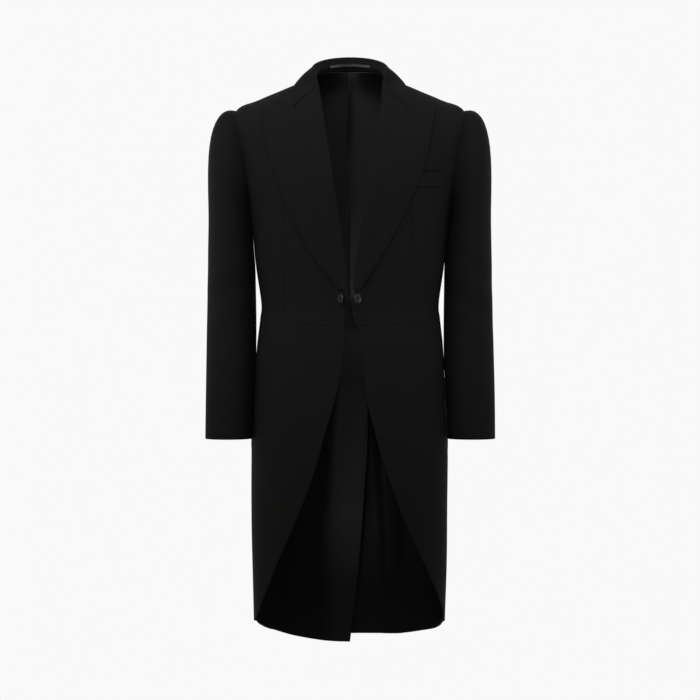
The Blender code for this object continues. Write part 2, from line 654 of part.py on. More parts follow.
    def skirt_pins(self, inset=0.0, behind=0.0):
        """Return the pins of the skirt, which sweeps from the front edge round to the pleat.

        Args:
            inset: how far a lining keeps back from the free edges.
            behind: how far it keeps back from the pleat.
        """
        heights = np.append(TAIL_HEIGHTS, HEM_LINE[0].right)
        pleat = np.vstack([self.side_back_seam[-1:], self.tail_edge(PLEAT_LINE, behind, inset)])
        edge = through([(row.height, getattr(row, self.who)) for row in FRONT_EDGE])
        edge = edge[edge[:, 0] < SKIRT_EDGE_HEAD]
        edge = seen_from_front(np.minimum(edge[:, 1] + inset, LINING_REACH), edge[:, 0] + inset * LINING_RISE)
        edge = np.vstack([self.edge_at_waist, edge[edge[:, 1] > WAIST_LEVEL + SEAM_MARGIN]])
        shares = lengths_along(body(pleat[:, 0], pleat[:, 1]))
        edge = sample(edge, shares)
        top = join(self.waist_front, self.waist_side)
        out = np.linspace(SKIRT_HEM_START, body(*pleat[-1])[0], DENSE)
        hem = seen_from_front(out, hem_height(out, self.who) + inset, back=True)
        hem = evenly(np.vstack([edge[-1:], hem[:-1], pleat[-1:]]), len(top) - 1)
        columns = lengths_along(body(top[:, 0], top[:, 1]))
        return blend_patch(top, sample(hem, columns), edge, pleat, over=columns, down=shares)

    def skirt(self):
        """Make the skirt."""
        pins = self.skirt_pins()
        self.panel("skirt", pins, self.lip(pins))

    def skirt_lining(self):
        """Make the skirt's lining, which shows inside the hem at the sides."""
        pins = self.skirt_pins(LINING_INSET, LINING_BEHIND)
        self.panel("lining_skirt", pins, -WOOL - LOOSE_LINING_GAP, LINING, SATIN_LINING)

    def sleeve(self):
        """Make the top and under sleeve, from the armhole over the sleeve head to the cuff."""
        pins = join(self.armhole_front, self.armhole_side, self.armhole_back)
        hole = body(pins[:, 0], pins[:, 1])
        middle = (hole[:-1].min(axis=0) + hole[:-1].max(axis=0)) / 2
        reach = (hole[:-1].max(axis=0) - hole[:-1].min(axis=0)) / 2
        spoke = (hole - middle) / reach * (0, 1, 1)
        turn = np.unwrap(np.arctan2(-spoke[:, 1], spoke[:, 2]))
        start = raised(pins, SLEEVE_STAND) - spoke / np.linalg.norm(spoke, axis=1)[:, None] * SLEEVE_GAP
        rings = [self.sleeve_ring(ring, turn) for ring in SLEEVE_RINGS]
        reach = np.linalg.norm(rings[0] - start, axis=1)[:, None] * SLEEVE_HEAD_SPRING
        leave = np.stack([np.ones_like(turn), np.sin(turn), np.cos(turn)], -1) * SLEEVE_LEAVE
        leave *= reach / np.linalg.norm(leave, axis=1)[:, None]
        arrive = rings[1] - rings[0]
        arrive *= reach / np.linalg.norm(arrive, axis=1)[:, None]
        head = [start * (2 * u**3 - 3 * u**2 + 1) + leave * (u**3 - 2 * u**2 + u)
                + rings[0] * (3 * u**2 - 2 * u**3) + arrive * (u**3 - u**2) for u in SLEEVE_HEAD_STEPS]
        outer = np.stack(head + rings)
        wrapped = np.concatenate([outer[:, -2:-1], outer, outer[:, 1:2]], axis=1)
        inner = outer + grid_normals(wrapped)[:, 1:-1] * WOOL
        under = list(range(FORE_SEAM, HIND_SEAM + 1))
        top = list(range(HIND_SEAM, len(pins))) + list(range(1, FORE_SEAM + 1))
        for name, columns in (("sleeve_top", top), ("sleeve_under", under)):
            wall(f"{name}_{self.who}", drawn_in(outer[:, columns]), drawn_in(inner[:, columns]),
                 BLACK_WOOL, self.mirror)

    @staticmethod
    def sleeve_ring(ring, turn):
        """Return points round a sleeve ring: an ellipse, from its outer side to the front."""
        middle, half_width = (ring.inner + ring.outer) / 2, (ring.outer - ring.inner) / 2
        centre, half_depth = (ring.front + ring.back) / 2, (ring.back - ring.front) / 2
        return np.stack([middle + half_width * np.cos(turn), centre - half_depth * np.sin(turn),
                         np.full_like(turn, ring.height)], -1)

    def corner(self, table):
        """Return the pin of a named corner on this side."""
        return seen_from_front(table[self.who].out, table[self.who].height)

    def gorge(self):
        """Return the pins of the gorge seam, which joins collar and lapel."""
        return evenly(through([self.corner(GORGE_TOP), self.corner(GORGE_BEND), self.corner(GORGE_CORNER)]),
                      GORGE_ROWS)

    def leaf_end(self):
        """Return the pins of the leaf's end, from the gorge seam's corner to the leaf's."""
        return evenly(straight(self.corner(GORGE_CORNER), self.corner(LEAF_CORNER)), LEAF_COLUMNS)

    def fold_line(self):
        """Return the pins of the line where collar and lapel fold over, and their crest's points."""
        fold = through([(math.pi, 0.0), FOLD_BEHIND, FOLD_SHOULDER, FOLD_FRONT, self.corner(GORGE_TOP)])
        top = GORGE_TOP[self.who]
        roll = through([(top.height, top.out)] + [(row.height, getattr(row, self.who)) for row in ROLL_LINE])
        roll = seen_from_front(roll[:, 1], roll[:, 0])
        pins = join(evenly(fold, COLLAR_ROWS), evenly(roll, LAPEL_ROWS))
        return pins, raised(pins, FALL_LIFT / 2 + self.lip(pins)) + self.away(pins) * FOLD_REACH

    @staticmethod
    def away(pins):
        """Return unit vectors square to the fold line, towards the coat's opening."""
        points = body(pins[:, 0], pins[:, 1])
        side = np.cross(np.gradient(points, axis=0), outward(pins[:, 0], pins[:, 1]))
        return side / np.linalg.norm(side, axis=-1, keepdims=True)

    def collar_middle(self):
        """Return the collar's middle surface on this side, from the centre back to the leaf's end.

        Each row runs up the stand from the neck seam, over the fold, and down the fall. The last
        rows, along the gorge seam, have the fall only, and their stand is not a number.
        """
        fold, crest = self.fold[:COLLAR_ROWS + 1], self.crest[:COLLAR_ROWS + 1]
        seam = evenly(straight((math.pi, STAND_FOOT), STAND_FRONT), COLLAR_ROWS)
        edge = evenly(through([(math.pi, COLLAR_FALL_LEVEL), *COLLAR_EDGE, self.corner(LEAF_CORNER)]),
                      COLLAR_ROWS + GORGE_ROWS)
        leaf = self.leaf_end()
        fall = blend_patch(evenly(straight(fold[0], edge[0]), LEAF_COLUMNS), leaf,
                           join(fold, self.gorge()), edge)
        lying = raised(fall, FALL_LIFT)
        bulge = (lying[:, :1] + lying[:, -1:]) / 2 + outward(fall[:, 1:2, 0], fall[:, 1:2, 1]) * FALL_BULGE
        share = np.linspace(0, 1, LEAF_COLUMNS + 1)[None, :, None]
        bridge = lying[:, :1] * (1 - share) ** 2 + bulge * 2 * share * (1 - share) + lying[:, -1:] * share**2
        normal = outward(fall[..., 0], fall[..., 1])
        height = np.sum((bridge - body(fall[..., 0], fall[..., 1])) * normal, axis=-1)
        bridge = bridge + normal * np.maximum(FALL_LIFT - height, 0)[..., None]
        row = np.linspace(0, 1, len(fall))[:, None, None]
        bridged = bridge + (lying - bridge) * smooth_step(*LYING_ROWS, row)
        stand = [raised(seam + (fold - seam) * part, STAND_LIFT) for part in STAND_STEPS]
        behind = np.full((len(fall), len(STAND_STEPS) + 1, 3), np.nan)
        behind[:COLLAR_ROWS + 1] = np.stack([*stand, crest], axis=1)
        return np.concatenate([behind, bridged], axis=1)

    def lapel_middle(self):
        """Return the lapel's middle surface: it rolls back off the edge and lies on the chest."""
        roll, crest = self.fold[COLLAR_ROWS:], self.crest[COLLAR_ROWS:]
        tip = PEAK_TIP[self.who]
        edge = through([(tip.height, tip.out)] + [(row.height, getattr(row, self.who)) for row in LAPEL_EDGE])
        edge = evenly(seen_from_front(edge[:, 1], edge[:, 0]), LAPEL_ROWS)
        top = join(self.gorge(), self.leaf_end(),
                   evenly(straight(self.corner(LEAF_CORNER), edge[0]), PEAK_COLUMNS))
        bottom = evenly(straight(roll[-1], edge[-1]), len(top) - 1)
        seen = blend_patch(*(front_view(line) for line in (top, bottom, roll, edge)))
        pins = seen_from_front(seen[..., 0], seen[..., 1])
        foot = raised(roll, LAPEL_FOOT_LIFT + self.lip(roll)) + self.away(roll) * LAPEL_FOOT_REACH
        return np.concatenate([foot[:, None], crest[:, None], raised(pins, FALL_LIFT + self.lip(pins))],
                              axis=1)

    def lapel(self):
        """Make the lapel."""
        normal = grid_normals(self.lapel_half)
        normal[0, LAPEL_GORGE] = self.gorge_normals
        half = normal * FACED_CLOTH / 2
        top = np.full(len(normal[0]), SEAM_GAP / 2)
        top[:len(LAPEL_FOLD_GAPS)] = LAPEL_FOLD_GAPS
        wall(f"lapel_{self.who}", drawn_in(self.lapel_half + half, top=top),
             drawn_in(self.lapel_half - half, top=top), BLACK_WOOL, self.mirror)

    def surface_depth(self, out, height):
        """Return the depth of the forepart's outer face at a place seen from the front."""
        pins = seen_from_front(out, height)
        return raised(pins, self.lip(pins))[..., 1]

    def button(self, name, centre, face):
        """Make a dished button at a centre, facing along a unit vector."""
        across = np.array((self.mirror, 1.0, 1.0))
        turned(f"{name}_{self.who}", centre * across, face * across, BUTTON_PROFILE, HORN)

    def link_button(self):
        """Make the link's button, which the drawn-together edge turns to the side."""
        tilt = LINK_TILT[self.who]
        face = np.array([math.sin(tilt), -math.cos(tilt), 0.0])
        over = np.array([math.cos(tilt), math.sin(tilt), 0.0])
        rim = (over * np.linspace(-1, 1, BUTTON_RIM_STEPS)[:, None] * BUTTON_RADIUS
               - face * BUTTON_THICKNESS / 2)
        out = LINK_BUTTON_OUT[self.who]
        depth = np.min(self.surface_depth(out + rim[:, 0], LINK_HEIGHT) - rim[:, 1]) - BUTTON_GAP
        centre = np.array([out, depth, LINK_HEIGHT])
        self.button("link_button", centre, face)

    def waist_button(self):
        """Make the button that heads the pleat at the back of the waist."""
        head = PLEAT_LINE[0]
        pin = seen_from_front(head.left + WAIST_BUTTON_OUT, head.height + WAIST_BUTTON_UP, back=True)
        face = outward(*pin)
        centre = body(*pin) + face * (BUTTON_THICKNESS / 2 + WAIST_BUTTON_GAP)
        self.button("waist_button", centre, face)


def turned(name, centre, face, profile, finish):
    """Make a round piece by turning a profile of radii and heights round its axis.

    Args:
        name: the piece's name.
        centre: its centre, in millimetres.
        face: the unit vector along its axis.
        profile: its rings, from the back to the face.
        finish: its material.
    """
    over = np.cross(face, (0.0, 0.0, 1.0))
    over /= np.linalg.norm(over)
    up = np.cross(over, face)
    turn = np.arange(ROUND_SIDES) * 2 * math.pi / ROUND_SIDES
    spoke = np.cos(turn)[:, None] * over + np.sin(turn)[:, None] * up
    rings = [centre + spoke * ring.radius + face * ring.height for ring in profile]
    poles = [centre + face * profile[0].height, centre + face * profile[-1].height]
    points = np.vstack(rings + [poles]) * MM
    back, front = len(points) - 2, len(points) - 1
    last = (len(profile) - 1) * ROUND_SIDES
    faces = []
    for k in range(ROUND_SIDES):
        after = (k + 1) % ROUND_SIDES
        faces.append((back, after, k))
        for low in range(0, last, ROUND_SIDES):
            high = low + ROUND_SIDES
            faces.append((low + k, low + after, high + after, high + k))
        faces.append((last + k, last + after, front))
    add_mesh(name, points, faces, finish)


def collar_normals(middle):
    """Return the unit normals of the collar's middle surface, whose last rows have no stand."""
    whole = ~np.isnan(middle[:, 0, 0])
    normal = np.full(middle.shape, np.nan)
    normal[:, FALL_COLUMN:] = grid_normals(middle[:, FALL_COLUMN:])
    normal[whole] = grid_normals(middle[whole])
    return normal


def collar_drawn_in(points):
    """Return the collar's points with every edge drawn in, that along the gorge seams too."""
    points = points.copy()
    whole = ~np.isnan(points[:, 0, 0])
    points[whole, :FALL_COLUMN + 1] = drawn_in(points[whole, :FALL_COLUMN + 1], right=0.0)
    points[:, FALL_COLUMN:] = drawn_in(points[:, FALL_COLUMN:], left=np.where(whole, 0.0, SEAM_GAP / 2))
    return points


def collar(left, right):
    """Make the collar in one piece, from one leaf's end round the neck to the other's."""
    across = np.array((-1.0, 1.0, 1.0))
    middle = np.concatenate([(right.collar_half * across)[:0:-1], left.collar_half])
    normal = collar_normals(middle)
    normal[len(left.collar_half) - 1:][GORGE_PATH] = left.gorge_normals
    normal[len(left.collar_half) - 1::-1][GORGE_PATH] = right.gorge_normals * across
    half = normal * FACED_CLOTH / 2
    wall("collar", collar_drawn_in(middle + half), collar_drawn_in(middle - half), BLACK_WOOL)


def breast_welt(left):
    """Make the breast pocket's welt on the wearer's left, its inner end under the lapel."""
    share = np.linspace(0, 1, WELT_COLUMNS + 1)
    out = WELT_ENDS[0].out + (WELT_ENDS[1].out - WELT_ENDS[0].out) * share
    top = WELT_ENDS[0].height + (WELT_ENDS[1].height - WELT_ENDS[0].height) * share
    rows = range(WELT_ROWS + 1)
    pins = np.stack([seen_from_front(out, top - WELT_HEIGHT * row / WELT_ROWS) for row in rows])
    left.panel("breast_welt", pins, WELT_THICKNESS + WELT_GAP, WELT_THICKNESS)
    bpy.data.objects["breast_welt_left"].name = "breast_welt"


def hanger_loop():
    """Make the hanging loop inside the collar: a narrow strap, fast at its ends."""
    share = np.linspace(-1, 1, LOOP_COLUMNS + 1)
    arch = 1 - share**2
    out = share * LOOP_HALF_SPAN
    rows = [seen_from_front(out, LOOP_HEIGHT + LOOP_ARCH * arch + LOOP_WIDTH * half, back=True)
            for half in (0.5, -0.5)]
    lift = STAND_LIFT - FACED_CLOTH / 2 - LOOP_GAP - LOOP_SLACK * arch
    pins = np.stack(rows)
    wall("hanger_loop", raised(pins, lift), raised(pins, lift - LOOP_THICKNESS), SATIN_LINING)


def link(left, right):
    """Make the link that joins the two buttons behind the fronts' edges."""
    ends = [side.surface_depth(LINK_HALF_SPAN, LINK_HEIGHT) for side in (left, right)]
    centre = np.array((0.0, max(ends) + WOOL + LINK_RADIUS + LINK_CLEARANCE, LINK_HEIGHT))
    profile = [TurnedRing(LINK_RADIUS, end) for end in (-LINK_HALF_SPAN, LINK_HALF_SPAN)]
    turned("link", centre, np.array((1.0, 0.0, 0.0)), profile, THREAD)


def main():
    """Clear the scene and make every piece of the coat."""
    for thing in list(bpy.data.objects):
        bpy.data.objects.remove(thing, do_unlink=True)
    halves = [Half("left"), Half("right")]
    for half in halves:
        half.forepart()
        half.side_body()
        half.back()
        half.back_lining()
        half.skirt()
        half.skirt_lining()
        half.sleeve()
        half.lapel()
        half.link_button()
        half.waist_button()
    collar(*halves)
    breast_welt(halves[0])
    hanger_loop()
    link(*halves)


main()
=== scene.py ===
"""Dress of the morning coat: cloth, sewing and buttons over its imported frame, and the studio.

Every piece of cloth is a thin closed shell with a rounded rim. The shells are laid on one
surface, the coat's body, which a table of rings gives: an angle runs round it from the middle
of the chest, and a level runs down it. A place on it is a pin, (angle, level). Sizes are in
millimetres until a mesh is made. +X is the wearer's left, the chest faces -Y, +Z is up.
"""
from __future__ import annotations

import logging
import math
from dataclasses import dataclass, field
from enum import Enum
from typing import Callable, NamedTuple, Sequence

import bpy
import numpy as np
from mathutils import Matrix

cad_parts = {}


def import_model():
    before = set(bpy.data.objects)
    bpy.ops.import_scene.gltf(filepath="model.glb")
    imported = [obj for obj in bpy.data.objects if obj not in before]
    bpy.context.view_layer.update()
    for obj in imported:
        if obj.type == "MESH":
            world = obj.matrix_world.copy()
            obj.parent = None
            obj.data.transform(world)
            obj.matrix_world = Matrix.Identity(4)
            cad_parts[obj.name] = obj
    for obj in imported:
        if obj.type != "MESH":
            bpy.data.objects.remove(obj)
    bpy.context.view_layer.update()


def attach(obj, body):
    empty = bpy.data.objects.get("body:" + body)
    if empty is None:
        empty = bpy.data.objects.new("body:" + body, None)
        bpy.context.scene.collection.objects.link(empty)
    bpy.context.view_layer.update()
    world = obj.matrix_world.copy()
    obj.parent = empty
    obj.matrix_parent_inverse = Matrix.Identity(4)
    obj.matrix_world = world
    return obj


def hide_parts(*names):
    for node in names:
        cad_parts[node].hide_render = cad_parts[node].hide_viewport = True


Array = np.ndarray
LOG = logging.getLogger("morning_coat")
MM = 0.001
ROOT = "root"


class Side(Enum):
    """The wearer's side that a piece lies on, with the sign of its X."""

    LEFT = 1.0
    RIGHT = -1.0

    @property
    def word(self) -> str:
        """The side's name in node names."""
        return self.name.lower()


class Slot(Enum):
    """The record's material slots."""

    WOOL = "wool"
    LINING = "lining"
    HORN = "horn"
    THREAD = "thread"


# Tables of the cut, in millimetres


class Ring(NamedTuple):
    """A ring of the body: heights at the side, front and back, half widths, and its squareness."""

    side: float
    front: float
    back: float
    half_width: float
    ahead: float
    behind: float
    squareness: float


class Row(NamedTuple):
    """A row of a line of the cut: a height, and how far out the line lies on each side.

    In the hem's table it is a distance out, and the hem's height on each side.
    """

    at: float
    right: float
    left: float


class Place(NamedTuple):
    """A place seen from the front, out from the middle, or from the side, back from the shoulder."""

    out: float
    height: float


class SleeveRing(NamedTuple):
    """A ring of the sleeve: its height and its four extremes."""

    height: float
    inner: float
    outer: float
    front: float
    back: float


class Crease(NamedTuple):
    """A soft trough in the cloth: its ends seen from the front, its width and its depth."""

    out: float
    height: float
    end_out: float
    end_height: float
    width: float
    depth: float


def table(kind: type, *rows: tuple) -> tuple:
    """Return rows of numbers as rows with named columns."""
    return tuple(kind(*row) for row in rows)


RINGS = table(
    Ring, (31, -8, 67, 69.5, 76, 86, 2), (9.5, -70, 41, 71, 82, 84, 2), (-16, -108, -5, 140, 100, 103, 2.05),
    (-47.5, -145, -75, 219, 114, 119, 2.2), (-140, -185, -150, 215, 126, 129, 2.35),
    (-240, -245, -240, 193, 130, 131, 2.4), (-344, -346, -344, 180.5, 124, 119, 2.35),
    (-417, -420, -417, 170, 118, 107, 2.3), (-450, -462, -452, 172.5, 119, 111, 2.3),
    (-522, -530, -522, 180, 123, 124, 2.3), (-678, -685, -678, 188, 127, 142, 2.3),
    (-850, -855, -850, 187, 126, 147, 2.3), (-1110, -1115, -1110, 181, 122, 150, 2.3))
NECK_LEVEL, SHOULDER_TIP_LEVEL, WAIST_LEVEL = 1.0, 3.0, 8.0
BREAK_HEIGHT, LINK_HEIGHT, VENT_HEAD, CUFF_HEIGHT = -395.0, -412.0, -464.0, -676.0
ROLL_LINE = table(
    Row, (-6, 61.5, 63.5), (-60, 54.5, 60.5), (-120, 45.5, 48.5), (-180, 36, 38.5), (-245, 26.5, 28.5),
    (-320, 14.8, 17.8), (BREAK_HEIGHT, 8, 8.5))
LAPEL_EDGE = table(
    Row, (-50, 167.5, 161.5), (-75, 162, 156.5), (-113, 156.8, 149.5), (-150, 147.5, 140.5), (-190, 134, 127.5),
    (-229, 120.5, 110), (-265, 104.8, 94), (-303, 83.6, 74.5), (-341, 62.3, 52.5), (-369, 41, 35), (-393, 22.5, 19))
FRONT_EDGE = table(
    Row, (BREAK_HEIGHT, 8, 8.5), (-430, 9.2, 12), (-462, 10.8, 15.7), (-500, 11.8, 20.8), (-536, 15, 25),
    (-570, 21.5, 28), (-614, 32, 34.5), (-655, 44.8, 45.2), (-708, 59, 59.5), (-762, 76.5, 78.5), (-809, 94.4, 95.8),
    (-850, 111.5, 113.2), (-890, 130, 131.5), (-930, 146.5, 149.5), (-965, 161.5, 165.5), (-997, 172.5, 176.5),
    (-1020, 179, 180.5))
SIDE_BACK_SEAM = table(
    Row, (-168, 197, 197), (-200, 172, 172), (-245, 138, 138), (-300, 104, 104), (-360, 76, 76), (-415, 58, 58),
    (-452, 52, 52))
PLEAT_LINE = table(
    Row, (-452, 52, 52), (-560, 76, 59), (-700, 104, 71), (-830, 128, 79.5), (-950, 147, 84.5), (-1060, 156, 86))
CENTRE_BACK_EDGE = table(
    Row, (-452, -7, 0.2), (VENT_HEAD, -14, 0.2), (-480, -34, -0.8), (-560, -37.5, -5.5), (-640, -39, -10),
    (-703, -38, -13.5), (-787, -32, -18.5), (-928, -21, -26.5), (-1024, -9, -32), (-1090, 0, -35.5))
TAIL_HEIGHTS = (-452, -464, -480, -515, -570, -630, -695, -765, -835, -905, -970, -1025)
HEM_LINE = table(
    Row, (-40, -1091, -1077), (0, -1091, -1077), (61, -1087, -1075.5), (110, -1077, -1071), (156, -1058, -1058),
    (174, -1044, -1046), (182, -1030, -1032))
TAIL_SWING = table(Row, (-430, 0, 0), (-452, -4, 0), (-464, -6, 0), (-600, -7, 2), (-800, -9, 4), (-1090, -13, 6))
ARMHOLE_FRONT = table(
    Place, (0, -47.5), (-22, -58), (-43, -88), (-56, -125), (-59, -162), (-50, -203), (-28, -232), (2, -243))
ARMHOLE_SIDE = table(Place, (2, -243), (34, -232), (57, -203), (65, -168))
ARMHOLE_BACK = table(Place, (65, -168), (61, -122), (44, -82), (20, -56), (0, -47.5))
SLEEVE_RINGS = table(
    SleeveRing, (-265, 187.4, 270.8, -72, 76), (-305, 184.8, 271.6, -70, 76), (-344, 181.6, 272.3, -67, 76),
    (-390, 180.6, 273.1, -61, 73), (-435, 179.8, 273.9, -57, 68), (-480, 179.4, 274.6, -57, 60),
    (-525, 179.6, 275.2, -60, 50), (-575, 181.6, 275.9, -63, 40), (-625, 184.2, 276.4, -65, 31),
    (CUFF_HEIGHT, 185.6, 276.8, -66, 26))
LEAF_CORNER = {Side.RIGHT: Place(141.0, -43.5), Side.LEFT: Place(138.0, -42.0)}
GORGE_CORNER = {Side.RIGHT: Place(104.0, -53.0), Side.LEFT: Place(110.5, -56.5)}
GORGE_BEND = {Side.RIGHT: Place(88.0, -31.0), Side.LEFT: Place(86.0, -31.0)}
GORGE_TOP = {Side.RIGHT: Place(62.8, 2.0), Side.LEFT: Place(64.3, 0.0)}
PEAK_TIP = {Side.RIGHT: Place(168.8, -44.5), Side.LEFT: Place(163.8, -38.0)}
SHOULDER_NECK, SHOULDER_TIP = (math.pi / 2, NECK_LEVEL), (math.pi / 2, SHOULDER_TIP_LEVEL)
CENTRE_NECK = (math.pi, NECK_LEVEL)
SIDE_SEAM_ANGLE = math.radians(93)
# How near a cut line's dense points may come to the level of its end
LEVEL_MARGIN = 0.02
# Distances from a rim at which its rounding is drawn
RIM_PLACES = np.array((0.0, 0.13, 0.42, 0.85, 1.5))

# At the left peak, drag lines from the link, folds beside the arms, and falls in the skirts
FRONT_CREASES = table(
    Crease, (103, -84, 139, -66, 3.4, 1.7), (106, -95, 144, -84, 3, 1.5), (112, -70, 134, -55, 3.2, 1.1),
    (30, -428, 128, -384, 15, 1), (36, -442, 150, -440, 13, 0.8), (-30, -428, -136, -378, 16, 1.1),
    (-34, -440, -142, -432, 12, 0.7), (150, -215, 178, -330, 14, 1.4), (-148, -220, -176, -322, 13, 1.5),
    (120, -560, 138, -900, 26, 1.8), (-112, -540, -140, -930, 30, 2), (64, -520, 90, -720, 20, 1),
    (-70, -500, -84, -700, 22, 1.1))
# Drag lines at the waist, folds beside the arms, and falls in the tails
BACK_CREASES = table(
    Crease, (24, -395, 128, -372, 13, 1.3), (-22, -398, -120, -380, 12, 1.2), (30, -425, 110, -420, 10, 0.9),
    (-34, -420, -116, -414, 11, 1), (150, -150, 128, -300, 17, 1.8), (-152, -155, -132, -290, 16, 1.6),
    (112, -560, 130, -980, 24, 2.2), (-98, -560, -118, -960, 24, 2), (40, -620, 46, -1000, 17, 1.6),
    (-30, -600, -52, -1010, 18, 1.6))


# Lines and grids


def smooth_step(low: float, high: float, value: Array | float) -> Array:
    """Return 0 below low, 1 above high, and 3s^2 - 2s^3 between."""
    share = np.clip((np.asarray(value, float) - low) / (high - low), 0, 1)
    return share * share * (3 - 2 * share)


def unit(vectors: Array) -> Array:
    """Return the vectors at length 1."""
    return vectors / np.linalg.norm(vectors, axis=-1, keepdims=True)


def through(rows: Sequence, spans: int = 12) -> Array:
    """Return a dense Catmull-Rom line through the rows of a table.

    Args:
        rows: points of any dimension.
        spans: how many points each stretch gets.

    Returns:
        The line's points, the last row included.
    """
    rows = np.asarray(rows, float)
    padded = np.vstack([2 * rows[0] - rows[1], rows, 2 * rows[-1] - rows[-2]])
    a, b, c, d = (padded[k:k + len(rows) - 1, None] for k in range(4))
    t = np.linspace(0, 1, spans, endpoint=False)[None, :, None]
    dense = 0.5 * (2 * b + (c - a) * t + (2 * a - 5 * b + 4 * c - d) * t**2 + (3 * b - a - 3 * c + d) * t**3)
    return np.vstack([dense.reshape(-1, rows.shape[1]), rows[-1:]])


def join(*stretches: Array) -> Array:
    """Join arrays row after row, dropping each repeated first row."""
    return np.vstack([stretches[0], *[stretch[1:] for stretch in stretches[1:]]])


def straight(start: Sequence[float], end: Sequence[float], count: int = 60) -> Array:
    """Return points on a straight line."""
    share = np.linspace(0, 1, count)[:, None]
    return np.asarray(start) * (1 - share) + np.asarray(end) * share


def hermite(start: Array, leave: Array, end: Array, arrive: Array, t: Array) -> Array:
    """Return a cubic Hermite curve at shares t: its two ends, with its slope as it leaves and arrives."""
    return (start * (2 * t**3 - 3 * t**2 + 1) + leave * (t**3 - 2 * t**2 + t)
            + end * (3 * t**2 - 2 * t**3) + arrive * (t**3 - t**2))


def circle_angles(sides: int) -> Array:
    """Return even angles once round a circle."""
    return np.arange(sides) * 2 * math.pi / sides


def blend_patch(top: Array, bottom: Array, left: Array, right: Array, over: Array, down: Array) -> Array:
    """Return a bilinear Coons patch: the sides' blend plus the ends' blend less the corners' blend.

    Args:
        top, bottom: the lines at the first and last row, sampled at over.
        left, right: the lines at the first and last column, sampled at down.
        over, down: the columns' and rows' shares, from 0 to 1.
    """
    over, down = over[None, :, None], down[:, None, None]
    sides = (1 - over) * left[:, None] + over * right[:, None]
    ends = (1 - down) * top[None] + down * bottom[None]
    corners = ((1 - down) * ((1 - over) * top[0] + over * top[-1])
               + down * ((1 - over) * bottom[0] + over * bottom[-1]))
    return sides + ends - corners


def lengths(points: Array, axis: int) -> Array:
    """Return the distance run along an axis of a grid up to each point; lost points add nothing."""
    steps = np.nan_to_num(np.linalg.norm(np.diff(points, axis=axis), axis=-1))
    start = np.zeros_like(np.take(steps, [0], axis=axis))
    return np.concatenate([start, np.cumsum(steps, axis=axis)], axis=axis)


def grid_normals(points: Array) -> Array:
    """Return unit normals of a grid, down cross over."""
    return unit(np.cross(np.gradient(points, axis=0), np.gradient(points, axis=1)))


def fine_steps(count: float, step: float, spacing: float, rims: tuple[bool, bool] = (True, True)) -> Array:
    """Return places from 0 to count, close together by the rims and even between.

    Args:
        count: how many units the line has.
        step: a unit's length in millimetres.
        spacing: the distance between places away from the rims, in millimetres.
        rims: whether the first and last end are rims.
    """
    even = np.linspace(0, count, max(round(count * step / spacing), 3) + 1)
    near = RIM_PLACES / step
    start = near if rims[0] else near[:1]
    end = near if rims[1] else near[:1]
    return np.concatenate([start, even[1:-1], count - end[::-1]])


def trimmed(values: Array, points: Array, first: Array | float, last: Array | float) -> Array:
    """Return rows of values resampled between a distance from each row's start and end.

    Args:
        values: a grid of anything, such as pins.
        points: the grid's places in millimetres.
        first, last: how far the rows are drawn in at their ends, for all rows or for each.
    """
    run = lengths(points, 1)
    share = run / run[:, -1:]
    first, last = (np.broadcast_to(inset, len(run)) for inset in (first, last))
    low, high = first / run[:, -1], 1 - last / run[:, -1]
    wanted = low[:, None] + share * (high - low)[:, None]
    rows = [np.stack([np.interp(want, have, row[:, k]) for k in range(row.shape[1])], -1)
            for want, have, row in zip(wanted, share, values)]
    return np.stack(rows)


# The coat's body


